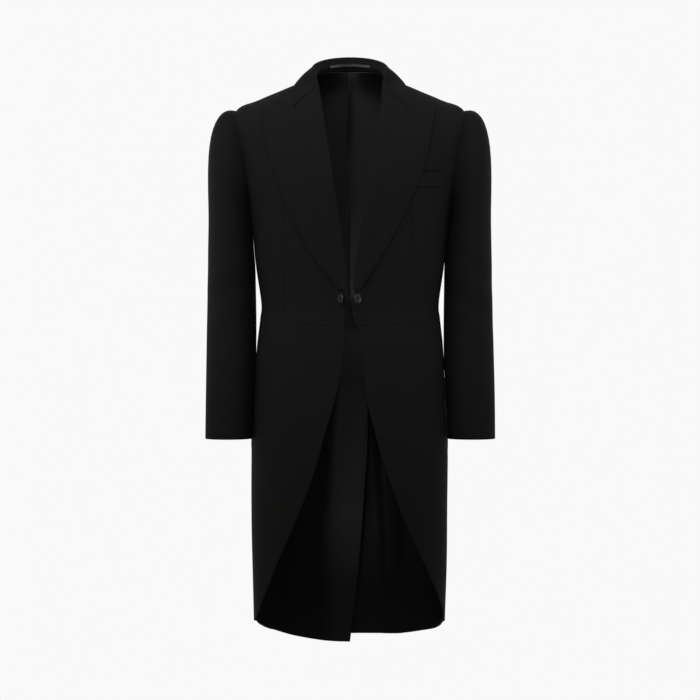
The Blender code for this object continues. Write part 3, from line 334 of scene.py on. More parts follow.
@dataclass(frozen=True)
class CoatBody:
    """The surface that all cloth lies on: superellipse rings, tilted down to the front."""

    rings: tuple[Ring, ...] = RINGS
    step: float = 1e-3
    halvings: int = 42

    def sizes(self, level: Array) -> Array:
        """Return the ring table's columns at a level, on a cubic Hermite curve through the rings."""
        table, last = np.array(self.rings), len(self.rings) - 1
        level = np.clip(np.asarray(level, float), 0.0, last)
        first = np.minimum(level.astype(int), last - 1)
        part = (level - first)[..., None]
        here, after = table[first], table[first + 1]
        before = np.where((first > 0)[..., None], table[np.maximum(first - 1, 0)], 2 * here - after)
        further = np.where((first < last - 1)[..., None], table[np.minimum(first + 2, last)], 2 * after - here)
        slope_here, slope_after = (after - before) / 2, (further - here) / 2
        return hermite(here, slope_here, after, slope_after, part)

    def points(self, pins: Array) -> Array:
        """Return the places of pins.

        x = half_width sin(angle)^(2/s), y = -ahead or behind times cos(angle)^(2/s), and z runs
        from the side's height to the front's and the back's as a parabola in cos(angle).
        """
        pins = np.asarray(pins, float)
        side, front, back, half_width, ahead, behind, squareness = np.moveaxis(self.sizes(pins[..., 1]), -1, 0)
        across, along = np.sin(pins[..., 0]), np.cos(pins[..., 0])
        x = half_width * np.sign(across) * np.abs(across) ** (2 / squareness)
        y = np.where(along > 0, -ahead, behind) * np.abs(along) ** (2 / squareness)
        z = side - (back - front) / 2 * along + ((back + front) / 2 - side) * along**2
        return np.stack([x, y, z], -1)

    def normals(self, pins: Array) -> Array:
        """Return the unit normals at pins, pointing away from the wearer."""
        angle, level = pins[..., 0], np.clip(pins[..., 1], self.step, len(self.rings) - 1 - self.step)
        turn = [self.points(np.stack([angle + way, level], -1)) for way in (-self.step, self.step)]
        fall = [self.points(np.stack([angle, level + way], -1)) for way in (-self.step, self.step)]
        return unit(np.cross(fall[1] - fall[0], turn[1] - turn[0]))

    def at_height(self, height: Array, angle_at: Callable[[Array], Array]) -> Array:
        """Find the pins whose place has the height, by halving the level."""
        low, high = np.zeros(np.shape(height)), np.full(np.shape(height), len(self.rings) - 1.0)
        for _ in range(self.halvings):
            middle = (low + high) / 2
            above = self.points(np.stack([angle_at(middle), middle], -1))[..., 2] > height
            low, high = np.where(above, middle, low), np.where(above, high, middle)
        level = (low + high) / 2
        return np.stack([angle_at(level), level], -1)

    @staticmethod
    def turn(distance: Array, reach: Array, squareness: Array) -> Array:
        """Return how far round from its axis a ring lies at a distance from it, with the distance's sign."""
        return np.arcsin(np.clip(np.abs(distance) / reach, 0, 1) ** (squareness / 2)) * np.sign(distance)

    def from_front(self, out: Array | float, height: Array | float, back: bool = False) -> Array:
        """Return the pins of places given by their distance out from the middle and height."""
        out, height = np.broadcast_arrays(np.asarray(out, float), np.asarray(height, float))

        def angle_at(level: Array) -> Array:
            """Return the angle at which a level's ring lies that far out."""
            sizes = self.sizes(level)
            turn = self.turn(out, sizes[..., 3], sizes[..., 6])
            return math.pi - turn if back else turn

        return self.at_height(height, angle_at)

    def from_side(self, depth: Array, height: Array) -> Array:
        """Return the pins of places given by their depth and height, seen from the side."""
        def angle_at(level: Array) -> Array:
            """Return the angle at which a level's ring lies that deep."""
            sizes = self.sizes(level)
            reach = np.where(depth < 0, sizes[..., 4], sizes[..., 5])
            return math.pi / 2 + self.turn(depth, reach, sizes[..., 6])

        return self.at_height(height, angle_at)

    def sample(self, pins: Array, shares: Array | Sequence[float]) -> Array:
        """Return pins at shares of a line's length."""
        run = lengths(self.points(pins), 0)
        return np.stack([np.interp(shares, run / run[-1], pins[:, k]) for k in (0, 1)], -1)

    def along(self, stretches: Sequence[Array], counts: Sequence[int], places: Array) -> Array:
        """Return pins at places along stretches, each of which has a count of even units."""
        ends = np.concatenate([[0], np.cumsum(counts)])
        which = np.clip(np.searchsorted(ends, places, side="right") - 1, 0, len(counts) - 1)
        pins = np.empty((len(places), 2))
        for k, line in enumerate(stretches):
            here = which == k
            pins[here] = self.sample(line, (places[here] - ends[k]) / counts[k])
        return pins


BODY = CoatBody()


def troughs(places: Array, creases: Sequence[Crease]) -> Array:
    """Return the depth of soft troughs: depth exp(-(d/width)^2), fading as a sine to its ends."""
    total = np.zeros(places.shape[:-1])
    flat = places[..., (0, 2)]
    for crease in creases:
        start, end = np.array(crease[0:2]), np.array(crease[2:4])
        way = end - start
        share = ((flat - start) @ way) / (way @ way)
        aside = np.linalg.norm(flat - start - np.clip(share, 0, 1)[..., None] * way, axis=-1)
        fade = np.sin(math.pi * np.clip(share * 0.9 + 0.05, 0, 1))
        total += crease.depth * np.exp(-((aside / crease.width) ** 2)) * fade
    return total


# The dip of the shoulder before the sleeve: depth, place and width
DIP_DEPTH, DIP_OUT, DIP_WIDTH = 4.2, 186.0, 24.0
# The groove that the resting sleeve presses into the skirt, and the swell behind it
GROOVE_DEPTH, SWELL_HEIGHT, GROOVE_WIDTH, SWELL_AT = 2.3, 2.2, 24.0, 1.1
GROOVE_PLACE, GROOVE_SLANT = -20.0, 10.0
SLOW_HEIGHT, FLUTE_HEIGHT = 0.35, 1.5


def relief(places: Array) -> Array:
    """Return how far the cloth stands off the plain body: slow ripples less its troughs.

    The shoulder dips 4 mm before the sleeve. The resting sleeve presses a groove 2 mm deep into the
    skirt, which swells as much behind it. Each is exp(-d^2) across its line.
    The ripples are sines of the place, 0.7 mm high at the chest and up to 2.4 mm more in the skirts.
    """
    x, y, z = np.moveaxis(places, -1, 0)
    front, back = smooth_step(20.0, 70.0, -y), smooth_step(20.0, 70.0, y)
    skirts = smooth_step(470.0, 900.0, -z)
    turn = np.arctan2(x, -y)
    flutes = np.sin(turn * 7.0 + 0.6) + 0.6 * np.sin(turn * 11.0 + z * 0.004 + 2.0)
    dip = DIP_DEPTH * np.exp(-(((np.abs(x) - DIP_OUT) / DIP_WIDTH) ** 2)) * smooth_step(-100.0, -50.0, z)
    beside = (y - GROOVE_PLACE - (z - CUFF_HEIGHT) / GROOVE_SLANT) / GROOVE_WIDTH
    press = GROOVE_DEPTH * np.exp(-(beside**2)) - SWELL_HEIGHT * np.exp(-((beside - SWELL_AT) ** 2))
    press *= smooth_step(530.0, 580.0, -z) * smooth_step(-710.0, -685.0, z) * smooth_step(120.0, 150.0, np.abs(x))
    slow = np.sin(x * 0.031 + z * 0.013 + 1.0) + np.sin(z * 0.027 - x * 0.011) * np.cos(y * 0.03 + x * 0.02)
    return (SLOW_HEIGHT * slow + FLUTE_HEIGHT * skirts * flutes - dip - press
            - front * troughs(places, FRONT_CREASES) - back * troughs(places, BACK_CREASES))


# Meshes


def add_object(name: str, points: Array, faces: Sequence, uvs: Array | None = None) -> bpy.types.Object:
    """Make a smooth mesh object of points in millimetres, with a UV map in metres if it has one.

    Args:
        name: the object's name.
        points: its vertices.
        faces: lists of vertex numbers.
        uvs: one UV place for each vertex.
    """
    mesh = bpy.data.meshes.new(name)
    mesh.from_pydata((points * MM).tolist(), [], [list(face) for face in faces])
    if uvs is not None:
        corners = np.empty(len(mesh.loops), np.int32)
        mesh.loops.foreach_get("vertex_index", corners)
        mesh.uv_layers.new(name="cut").data.foreach_set("uv", (uvs[corners] * MM).ravel())
    mesh.shade_smooth()
    thing = bpy.data.objects.new(name, mesh)
    bpy.context.collection.objects.link(thing)
    return thing


@dataclass
class Cloth:
    """A closed shell of cloth between an outer face and the same face moved in.

    Attributes:
        node: the node that the piece stands for.
        outer: a grid of the outer face's points, NaN where there is no cloth.
        normal: the unit normals there, pointing out.
        thickness: the shell's thickness.
        side: the half it lies on; the right half is mirrored.
        rim: the width of the rounding along its rim.
        ending: what follows the node's name in the piece's name.
    """

    node: str
    outer: Array
    normal: Array
    thickness: float
    side: Side = Side.LEFT
    rim: float = 1.1
    ending: str = "cloth"

    def kept(self) -> Array:
        """Return which grid places have cloth."""
        return ~np.isnan(self.outer[..., 0])

    def cells(self) -> Array:
        """Return which cells of the grid have cloth at all four corners."""
        kept = self.kept()
        return kept[:-1, :-1] & kept[1:, :-1] & kept[1:, 1:] & kept[:-1, 1:]

    def border(self) -> Array:
        """Return which places lie on the rim: those with fewer than four whole cells round them."""
        cells = np.pad(self.cells().astype(int), 1)
        return self.kept() & (cells[:-1, :-1] + cells[1:, :-1] + cells[:-1, 1:] + cells[1:, 1:] < 4)

    def rim_distance(self) -> Array:
        """Return each place's distance from the rim along its row and its column, the least."""
        kept = self.kept()
        nearest = np.full(kept.shape, np.inf)
        for axis in (0, 1):
            run = lengths(self.outer, axis)
            inside = np.where(kept, run, np.nan)
            nearest = np.fmin(nearest, run - np.nanmin(inside, axis=axis, keepdims=True))
            nearest = np.fmin(nearest, np.nanmax(inside, axis=axis, keepdims=True) - run)
        return np.where(self.border(), 0.0, nearest)

    def flat(self) -> tuple[float, float]:
        """Return the cut's width and length in metres: its longest row and column."""
        return tuple(float(np.nanmax(lengths(self.outer, axis)) * MM) for axis in (1, 0))

    def build(self) -> bpy.types.Object:
        """Make the shell, whose half thickness grows from the rim as a quarter circle."""
        kept, border = self.kept(), self.border()
        swell = np.sqrt(1 - (1 - np.clip(self.rim_distance() / self.rim, 0, 1)) ** 2)[..., None]
        half = self.normal * swell * self.thickness / 2
        middle = self.outer - self.normal * self.thickness / 2
        inner = kept & ~border
        outside = np.full(kept.shape, -1)
        outside[kept] = np.arange(kept.sum())
        inside = outside.copy()
        inside[inner] = kept.sum() + np.arange(inner.sum())
        points = np.vstack([(middle + half)[kept], (middle - half)[inner]]) * (self.side.value, 1, 1)
        cut = np.stack([lengths(self.outer, 1), -lengths(self.outer, 0)], -1)
        uvs = np.vstack([cut[kept], cut[inner]])
        cells = self.cells()
        facing = np.nansum(grid_normals(self.outer) * self.normal) * self.side.value > 0
        faces = []
        for index, turned in ((outside, not facing), (inside, facing)):
            quads = np.stack([index[:-1, :-1], index[1:, :-1], index[1:, 1:], index[:-1, 1:]], -1)[cells]
            faces += (quads[:, ::-1] if turned else quads).tolist()
        return add_object(f"{self.node}_{self.ending}", points, faces, uvs)


def ring_quads(rings: int, sides: int) -> tuple[Array, list]:
    """Return the numbers of the points in rings, a row for each ring, and the quads between the rings."""
    index = np.arange(rings * sides).reshape(rings, sides)
    after = np.roll(index, -1, axis=1)
    return index, np.stack([index[:-1], after[:-1], after[1:], index[1:]], -1).reshape(-1, 4).tolist()


# A direction that no tube follows, from which the circles of a tube are turned
ASKEW = np.array((0.31, 0.52, 0.79))


def tube(path: Array, radius: float, sides: int = 8) -> tuple[Array, list]:
    """Return the points and faces of a closed tube: circles square to the path, capped at its ends.

    Args:
        path: the middle line's points.
        radius: the tube's radius.
        sides: how many sides it has.
    """
    along = unit(np.gradient(path, axis=0))
    aside = unit(np.cross(along, ASKEW))
    up = np.cross(along, aside)
    turn = circle_angles(sides)
    circle = aside[:, None] * np.cos(turn)[:, None] + up[:, None] * np.sin(turn)[:, None]
    index, quads = ring_quads(len(path), sides)
    return (path[:, None] + circle * radius).reshape(-1, 3), quads + [index[0, ::-1].tolist(), index[-1].tolist()]


def merged(parts: Sequence[tuple[Array, list]]) -> tuple[Array, list]:
    """Return several parts' points and faces as one."""
    points, faces, count = [], [], 0
    for part_points, part_faces in parts:
        points.append(part_points)
        faces += [[corner + count for corner in face] for face in part_faces]
        count += len(part_points)
    return np.vstack(points), faces


# Finishes


def linear(code: str) -> tuple[float, float, float, float]:
    """Return the linear colour of an sRGB hex code, opaque."""
    values = [int(code[k:k + 2], 16) / 255 for k in (1, 3, 5)]
    red, green, blue = (v / 12.92 if v <= 0.04045 else ((v + 0.055) / 1.055) ** 2.4 for v in values)
    return red, green, blue, 1.0


class Graph:
    """A material's node tree, to which each call adds a node."""

    def __init__(self, material: bpy.types.Material) -> None:
        """Start from the material's own Principled shader."""
        material.use_nodes = True
        self.tree = material.node_tree
        self.shader = self.tree.nodes["Principled BSDF"]
        self.places = self.tree.nodes.new("ShaderNodeTexCoord").outputs

    def wire(self, node: bpy.types.Node, inputs: dict) -> None:
        """Link each socket given to the node's input of that name or number, and set each value."""
        for key, value in inputs.items():
            if isinstance(value, bpy.types.NodeSocket):
                self.tree.links.new(value, node.inputs[key])
            else:
                node.inputs[key].default_value = value

    def add(self, kind: str, inputs: dict, output: str = "", **settings: object) -> bpy.types.NodeSocket:
        """Add a shader node and return one of its outputs.

        Args:
            kind: the node's type name without ShaderNode.
            inputs: for an input's name or number, the socket to link or the value to set.
            output: the output's name; the first that the node uses if none is given.
            settings: the node's properties.
        """
        node = self.tree.nodes.new(f"ShaderNode{kind}")
        for name, value in settings.items():
            setattr(node, name, value)
        self.wire(node, inputs)
        return node.outputs[output] if output else next(socket for socket in node.outputs if socket.enabled)


@dataclass(frozen=True)
class Finish:
    """A finish with its material's name and record slot."""

    name: str
    slot: Slot

    def material(self) -> bpy.types.Material:
        """Return the material, made once."""
        found = bpy.data.materials.get(self.name)
        if found is None:
            found = bpy.data.materials.new(self.name)
            graph = Graph(found)
            graph.wire(graph.shader, self.look(graph))
        return found

    def look(self, graph: Graph) -> dict:
        """Add the pattern's nodes and return what goes into the shader's inputs."""
        return {}


@dataclass(frozen=True)
class SeamLine:
    """A seam sewn within a piece, seen from the front, in millimetres."""

    start: Place
    end: Place
    width: float = 1.2
    depth: float = 0.55

    def mask(self, graph: Graph) -> bpy.types.NodeSocket:
        """Return a socket that is 1 on the line and 0 beside it, a smooth step of the distance."""
        start, end = ((place.out * MM, 0.0, place.height * MM) for place in (self.start, self.end))
        way = (end[0] - start[0], 0.0, end[2] - start[2])
        flat = graph.add("VectorMath", {0: graph.places["Object"], 1: (1.0, 0.0, 1.0)}, operation="MULTIPLY")
        shift = graph.add("VectorMath", {0: flat, 1: start}, operation="SUBTRACT")
        dot = graph.add("VectorMath", {0: shift, 1: way}, operation="DOT_PRODUCT")
        share = graph.add("Math", {0: dot, 1: way[0] ** 2 + way[2] ** 2}, operation="DIVIDE", use_clamp=True)
        foot = graph.add("VectorMath", {0: way, "Scale": share}, operation="SCALE")
        away = graph.add("VectorMath", {0: shift, 1: foot}, operation="DISTANCE")
        return graph.add("MapRange", {"Value": away, "From Min": self.width * MM, "From Max": 0.0},
                         interpolation_type="SMOOTHSTEP")


@dataclass(frozen=True)
class Wool(Finish):
    """Black worsted wool: a matt woven twill whose short nap gives a faint grey bloom at its turns."""

    cool: str = "#0b0b0c"
    warm: str = "#0c0b0a"
    fleck: str = "#151517"
    # painted shade: the darker colour that the wool turns to towards the hem
    low: str = "#050504"
    twill: float = 1.6
    seams: tuple[SeamLine, ...] = ()

    def look(self, graph: Graph) -> dict:
        """Lay twill lines, mottled nap and sewn lines on the wool, with painted shade that darkens it towards the
        hem.

        Real twill lines are 0.5 mm apart; they are drawn 1.6 mm apart so that they show.
        """
        add, cut = graph.add, graph.places["UV"]
        height = add("SeparateXYZ", {0: graph.places["Object"]}, "Z")
        below = add("MapRange", {"Value": height, "From Min": -0.22, "From Max": -0.44})
        mottle = add("TexNoise", {"Vector": cut, "Scale": 170.0, "Detail": 4.0, "Roughness": 0.65})
        speck = add("MapRange", {"Value": mottle, "From Min": 0.35, "From Max": 0.9, "To Max": 0.4})
        # painted shade: below the waist the wool darkens towards the hem, where less light falls
        fall = add("MapRange", {"Value": height, "From Min": -0.45, "From Max": -0.85, "To Max": 0.75})
        colour = linear(self.cool)
        for share, tone in ((below, self.warm), (speck, self.fleck), (fall, self.low)):
            colour = add("Mix", {"Factor": share, "A": colour, "B": linear(tone)}, data_type="RGBA")
        nap = add("TexNoise", {"Vector": cut, "Scale": 900.0, "Detail": 2.0})
        lines = add("TexWave", {"Vector": cut, "Scale": math.pi / self.twill / MM / 10, "Distortion": 0.6,
                                "Detail": 1.0, "Detail Scale": 3.0}, "Fac", wave_type="BANDS",
                    bands_direction="DIAGONAL")
        weave = add("Math", {0: lines, 1: 0.55, 2: nap}, operation="MULTIPLY_ADD")
        bump = add("Bump", {"Height": weave, "Strength": 0.5, "Distance": 0.00025})
        for seam in self.seams:
            sunk = add("Math", {0: seam.mask(graph), 1: -seam.depth}, operation="MULTIPLY")
            bump = add("Bump", {"Height": sunk, "Strength": 0.9, "Distance": 0.0009, "Normal": bump})
            # painted shade: the colour darkens along each sunk line, as shade would in its groove
            shade = add("Math", {0: sunk, 1: -0.7}, operation="MULTIPLY")
            colour = add("Mix", {"Factor": shade, "A": colour, "B": linear("#000000")}, data_type="RGBA")
        return {"Base Color": colour, "Normal": bump, "Roughness": 0.8, "Specular IOR Level": 0.035,
                "Sheen Weight": 0.008, "Sheen Roughness": 0.45, "Sheen Tint": linear("#c8ccd2")}


@dataclass(frozen=True)
class Satin(Finish):
    """Dark satin lining: long floats give a smooth face; a soft streak of light down the cloth is painted sheen.

    Painted sheen: the gloss swells across a stripe, from its first distance out to its second, down the tail.
    A painted light, paler in the fold at the waist, is a patch round a place, squashed in height, with a soft edge,
    in metres.
    """

    dark: str = "#090809"
    light: str = "#0e0c0f"
    # painted shade: the olive black that the satin turns to towards the hem
    low: str = "#090908"
    # painted light: the paler colour of the patch at the waist, which lies deep in shade inside the coat
    waist: str = "#2a2728"
    float_width: float = 2.2
    gloss: float = 0.12
    band: tuple[float, float] | None = None
    band_light: float = 1.0
    painted_light_squash: tuple[float, float, float] = (1.0, 0.0, 0.45)
    painted_light_place: tuple[float, float, float] = (0.007, 0.0, -0.194)
    painted_light_edge: tuple[float, float] = (0.07, 0.02)

    def look(self, graph: Graph) -> dict:
        """Lay fine lengthwise streaks and slow ripples on the satin, with painted light making it paler in the fold
        at the waist.

        Real floats are 0.1 mm wide; the streaks are drawn 2.2 mm wide so that they show.
        """
        add, place = graph.add, graph.places["Object"]
        stretched = add("Mapping", {"Vector": graph.places["UV"], "Scale": (1 / self.float_width / MM, 14.0, 1.0)})
        streaks = add("TexNoise", {"Vector": stretched, "Scale": 1.0, "Detail": 3.0})
        height = add("SeparateXYZ", {0: place}, "Z")
        # painted shade: towards the hem the satin turns olive black and its gloss drops to a quarter, where less
        # light falls
        lower = add("MapRange", {"Value": height, "From Min": -0.84, "From Max": -0.98})
        # painted light: a paler patch in the satin at the waist, where the lining lies deep in shade
        tall = add("VectorMath", {0: place, 1: self.painted_light_squash}, operation="MULTIPLY")
        away = add("VectorMath", {0: tall, 1: self.painted_light_place}, operation="DISTANCE")
        fold = add("MapRange", {"Value": away, "From Min": self.painted_light_edge[0], "From Max": self.painted_light_edge[1]},
                   interpolation_type="SMOOTHSTEP")
        colour = linear(self.dark)
        for share, tone in ((streaks, self.light), (lower, self.low), (fold, self.waist)):
            colour = add("Mix", {"Factor": share, "A": colour, "B": linear(tone)}, data_type="RGBA")
        gloss = add("MapRange", {"Value": lower, "To Min": self.gloss, "To Max": self.gloss * 0.25})
        # painted sheen: down the tail the gloss is raised in a stripe by place, where light would fall, and lowered
        # beside it
        if self.band:
            below = add("MapRange", {"Value": height, "From Min": -0.42, "From Max": -0.5})
            beside = add("MapRange", {"Value": add("SeparateXYZ", {0: place}, "X"), "From Min": self.band[0] * MM,
                                      "From Max": self.band[1] * MM, "To Min": 0.12, "To Max": self.band_light},
                         interpolation_type="SMOOTHSTEP")
            share = add("Mix", {"Factor": below, "A": 1.0, "B": beside})
            gloss = add("Math", {0: gloss, 1: share}, operation="MULTIPLY")
        slow = add("TexNoise", {"Vector": place, "Scale": 18.0, "Detail": 1.0})
        fine = add("Bump", {"Height": streaks, "Strength": 0.25, "Distance": 0.0003})
        bump = add("Bump", {"Height": slow, "Strength": 0.3, "Distance": 0.003, "Normal": fine})
        return {"Base Color": colour, "Specular IOR Level": gloss, "Normal": bump, "Roughness": 0.36}


@dataclass(frozen=True)
class Horn(Finish):
    """Polished dark horn: half gloss with faint brown streaks."""

    dark: str = "#14110f"
    streak: str = "#2b2119"

    def look(self, graph: Graph) -> dict:
        """Lay long streaks in the horn."""
        grain = graph.add("TexNoise", {"Vector": graph.places["Object"], "Scale": 260.0, "Detail": 5.0,
                                       "Distortion": 1.5})
        share = graph.add("MapRange", {"Value": grain, "From Min": 0.45, "From Max": 0.8})
        colour = graph.add("Mix", {"Factor": share, "A": linear(self.dark), "B": linear(self.streak)},
                           data_type="RGBA")
        bump = graph.add("Bump", {"Height": grain, "Strength": 0.12, "Distance": 0.0002})
        return {"Base Color": colour, "Normal": bump, "Roughness": 0.28, "Specular IOR Level": 0.15,
                "Coat Weight": 0.1, "Coat Roughness": 0.12}


@dataclass(frozen=True)
class Thread(Finish):
    """Black silk twist: plied thread with a low gloss on its turns."""

    colour: str = "#0e0d0e"
    glint: str = "#1c1a1c"

    def look(self, graph: Graph) -> dict:
        """Lay the plies' mottle on the thread."""
        plies = graph.add("TexNoise", {"Vector": graph.places["Object"], "Scale": 2500.0, "Detail": 1.0})
        colour = graph.add("Mix", {"Factor": plies, "A": linear(self.colour), "B": linear(self.glint)},
                           data_type="RGBA")
        bump = graph.add("Bump", {"Height": plies, "Strength": 0.4, "Distance": 0.0001})
        return {"Base Color": colour, "Normal": bump, "Roughness": 0.55, "Specular IOR Level": 0.15}


WOOL = Wool("black worsted wool", Slot.WOOL)
# Sunk lines of the front darts and of the pocket mouth along the breast welt's top; their darkening is painted shade,
# at the pocket mouth a painted shadow
FRONT_WOOL = Wool("black worsted wool with front darts", Slot.WOOL, seams=(
    SeamLine(Place(-121.0, -236.0), Place(-121.5, -462.0)), SeamLine(Place(113.5, -236.0), Place(113.5, -462.0)),
    SeamLine(Place(134.0, -174.6), Place(172.0, -172.8), width=2.2, depth=1.0)))
# One satin lit two ways: the halves' glosses differ, and down the tails the right half has a painted sheen beside the
# vent while the left is painted dull
SATIN = {Side.LEFT: Satin("dark satin lining, left half", Slot.LINING, gloss=0.2, band=(150.0, 0.0), band_light=0.32),
         Side.RIGHT: Satin("dark satin lining, right half", Slot.LINING, band=(-75.0, -8.0))}
STRAP_SATIN = Satin("glossy satin strap", Slot.LINING, dark="#101012", light="#1a1a1d", gloss=0.2)
HORN = Horn("polished dark horn", Slot.HORN)
THREAD = Thread("black silk twist", Slot.THREAD)
FELL = Thread("black felling silk", Slot.THREAD, colour="#010101", glint="#040404")


def dressed(thing: bpy.types.Object, finish: Finish, *nodes: str) -> bpy.types.Object:
    """Give a piece its finish and its body, hide the nodes that it stands for, and report it."""
    thing.data.materials.clear()
    thing.data.materials.append(finish.material())
    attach(thing, ROOT)
    if nodes:
        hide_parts(*nodes)
    LOG.info("%s: %d faces, %s", thing.name, len(thing.data.polygons), finish.name)
    return thing


def hung(cloth: Cloth, finish: Finish) -> None:
    """Build a sheet of cloth, dress it and work out its cut size."""
    thing = dressed(cloth.build(), finish, cloth.node)
    width, length = (round(size, 4) for size in cloth.flat())


# The cut of one half


@dataclass
class Half:
    """The seams and edges of one half of the coat, drawn as the wearer's left."""

    side: Side
    wool: float = 1.9
    lining: float = 1.0
    lining_gap: float = 0.5
    lip_lift: float = 12.0
    lip_reach: float = 21.0
    lip_half_height: float = 30.0
    pleat_head: float = -422.0
    pleat_depth: float = 3.7
    pleat_overlap: float = 22.0
    pleat_rise: float = 28.0
    pleat_turn: tuple[float, float] = (-28.0, -6.0)
    swing_start: float = 14.0
    swing_taper: float = 24.0
    front_rows: tuple[int, int, int] = (2, 12, 3)
    armhole_rows: tuple[int, int, int] = (8, 5, 6)
    side_rows: int = 9
    back_columns: tuple[int, int] = (5, 4)

    def __post_init__(self) -> None:
        """Work out the seams that neighbouring pieces share."""
        self.armhole = [self.armhole_line(places) for places in (ARMHOLE_FRONT, ARMHOLE_SIDE, ARMHOLE_BACK)]
        under_arm, side_back = self.armhole[1][0], self.armhole[1][-1]
        self.side_seam = straight(under_arm, (SIDE_SEAM_ANGLE, WAIST_LEVEL))
        seam = self.line(SIDE_BACK_SEAM, back=True)
        fade = 1 - smooth_step(0, 0.25, np.linspace(0, 1, len(seam)))
        self.side_back_seam = seam + (side_back - seam[0]) * fade[:, None]
        self.side_back_seam[-1, 1] = WAIST_LEVEL
        edge = self.line(FRONT_EDGE)
        self.edge_at_waist = np.array((np.interp(WAIST_LEVEL, edge[:, 1], edge[:, 0]), WAIST_LEVEL))
        self.waist_front = straight(self.edge_at_waist, self.side_seam[-1])
        self.waist_side = straight(self.side_seam[-1], self.side_back_seam[-1])

    def rows_of(self, rows: Sequence[Row], *first: Place) -> Array:
        """Return a table's first column and this side's, on a smooth line from a first corner if given."""
        return through([*((place.height, place.out) for place in first),
                        *((row.at, getattr(row, self.side.word)) for row in rows)])

    def line(self, rows: Sequence[Row], *first: Place, back: bool = False) -> Array:
        """Return dense pins along a line of the cut, from a first corner if one is given."""
        dense = self.rows_of(rows, *first)
        return BODY.from_front(dense[:, 1], dense[:, 0], back)

    def out(self, rows: Sequence[Row], height: Array) -> Array:
        """Return how far out a line lies at a height."""
        dense = self.rows_of(rows)
        return np.interp(-np.asarray(height, float), -dense[:, 0], dense[:, 1])

    @staticmethod
    def armhole_line(places: Sequence[Place]) -> Array:
        """Return dense pins along a stretch of the armhole."""
        dense = through(places)
        return BODY.from_side(dense[:, 0], dense[:, 1])

    def hem(self, out: Array) -> Array:
        """Return the hem's height at a distance out from the middle."""
        dense = self.rows_of(HEM_LINE)
        return np.interp(out, dense[:, 0], dense[:, 1])

    def corner(self, places: dict[Side, Place]) -> Array:
        """Return the pin of a named corner on this side."""
        return BODY.from_front(*places[self.side])

    @staticmethod
    def past_middle(pins: Array) -> Array:
        """Return how far out pins of the back lie, which is minus where they run past the middle."""
        out = BODY.points(pins)[..., 0]
        return np.where(pins[..., 0] > math.pi, -np.abs(out), out)

    def lip(self, pins: Array) -> Array:
        """Return how far the front edges stand forward where the link draws them together."""
        places = BODY.points(pins)
        out, height = places[..., 0], places[..., 2]
        edge = np.where(height > BREAK_HEIGHT, self.out(ROLL_LINE, height), self.out(FRONT_EDGE, height))
        near = np.clip(1 - (out - edge) / self.lip_reach, 0, 1) ** 2
        return self.lip_lift * near * np.exp(-((height - LINK_HEIGHT) / self.lip_half_height) ** 2)

    def tail_lift(self, pins: Array) -> Array:
        """Return how far the back stands off the body: the right tail inside the left, pleats sunk."""
        out, height, head = self.past_middle(pins), BODY.points(pins)[..., 2], PLEAT_LINE[0]
        pleat = np.where(height < head.at, self.out(PLEAT_LINE, height), head.left)
        swing = np.interp(-height, [-row.at for row in TAIL_SWING],
                          [getattr(row, self.side.word) for row in TAIL_SWING])
        middle = 1 - smooth_step(0.0, 1.0, (out - self.swing_start) / (pleat - self.swing_taper))
        start = -self.pleat_head
        under = smooth_step(start, start + self.pleat_rise, -height) * smooth_step(*self.pleat_turn, out - pleat)
        return swing * middle - self.pleat_depth * under

    def raised(self, pins: Array, height: Array | float) -> tuple[Array, Array]:
        """Return places and unit normals at pins, moved out by a height and the cloth's relief."""
        base, normal = BODY.points(pins), BODY.normals(pins)
        height = np.broadcast_to(height, pins.shape[:-1]) + relief(base * (self.side.value, 1, 1))
        return base + normal * height[..., None], normal

    def cloth(self, node: str, pins: Array, height: Array | float, thickness: float) -> Cloth:
        """Return a cloth shell whose outer face lies at the pins, moved out by a height."""
        outer, _ = self.raised(pins, height)
        normal = grid_normals(outer)
        return Cloth(node, outer, normal * np.sign(np.sum(normal * BODY.normals(pins))), thickness, self.side)

    def front_edge(self) -> list[Array]:
        """Return the forepart's free edge in three stretches: neck, roll line, edge to the waist."""
        roll = self.line(ROLL_LINE)
        start = np.array((np.interp(NECK_LEVEL, roll[:, 1], roll[:, 0]), NECK_LEVEL))
        edge = self.line(FRONT_EDGE)
        return [straight(SHOULDER_NECK, start), np.vstack([start, roll[roll[:, 1] > NECK_LEVEL + LEVEL_MARGIN]]),
                np.vstack([edge[edge[:, 1] < WAIST_LEVEL - LEVEL_MARGIN], self.edge_at_waist])]


# The pieces of the coat


@dataclass
class Forepart:
    """The forepart and the side body of one half, from the shoulder and armhole to the waist seam."""

    half: Half
    spacing: float = 5.0
    width: float = 150.0
    row_length: float = 27.0
    side_width: float = 110.0
    side_row_length: float = 26.0

    def forepart(self) -> Cloth:
        """Return the forepart: its free edge on one side, armhole and side seam on the other."""
        half = self.half
        count = sum(half.front_rows)
        down, over = fine_steps(count, self.row_length, self.spacing), fine_steps(1.0, self.width, self.spacing)
        sides = [half.armhole[0], half.side_seam]
        pins = blend_patch(BODY.sample(straight(SHOULDER_NECK, SHOULDER_TIP), over),
                           BODY.sample(half.waist_front, over),
                           BODY.along(half.front_edge(), half.front_rows, down),
                           BODY.along(sides, (half.armhole_rows[0], half.side_rows), down), over, down / count)
        return half.cloth(f"front_{half.side.word}", pins, half.lip(pins), half.wool)

    def side_body(self) -> Cloth:
        """Return the side body, between the side seam and the side-back seam."""
        half = self.half
        down = fine_steps(half.side_rows, self.side_row_length, self.spacing)
        over = fine_steps(1.0, self.side_width, self.spacing)
        share = down / half.side_rows
        pins = blend_patch(BODY.sample(half.armhole[1], over), BODY.sample(half.waist_side, over),
                           BODY.sample(half.side_seam, share), BODY.sample(half.side_back_seam, share), over, share)
        return half.cloth(f"side_body_{half.side.word}", pins, 0.0, half.wool)

    def build(self) -> None:
        """Build and dress both pieces."""
        hung(self.forepart(), FRONT_WOOL)
        hung(self.side_body(), WOOL)


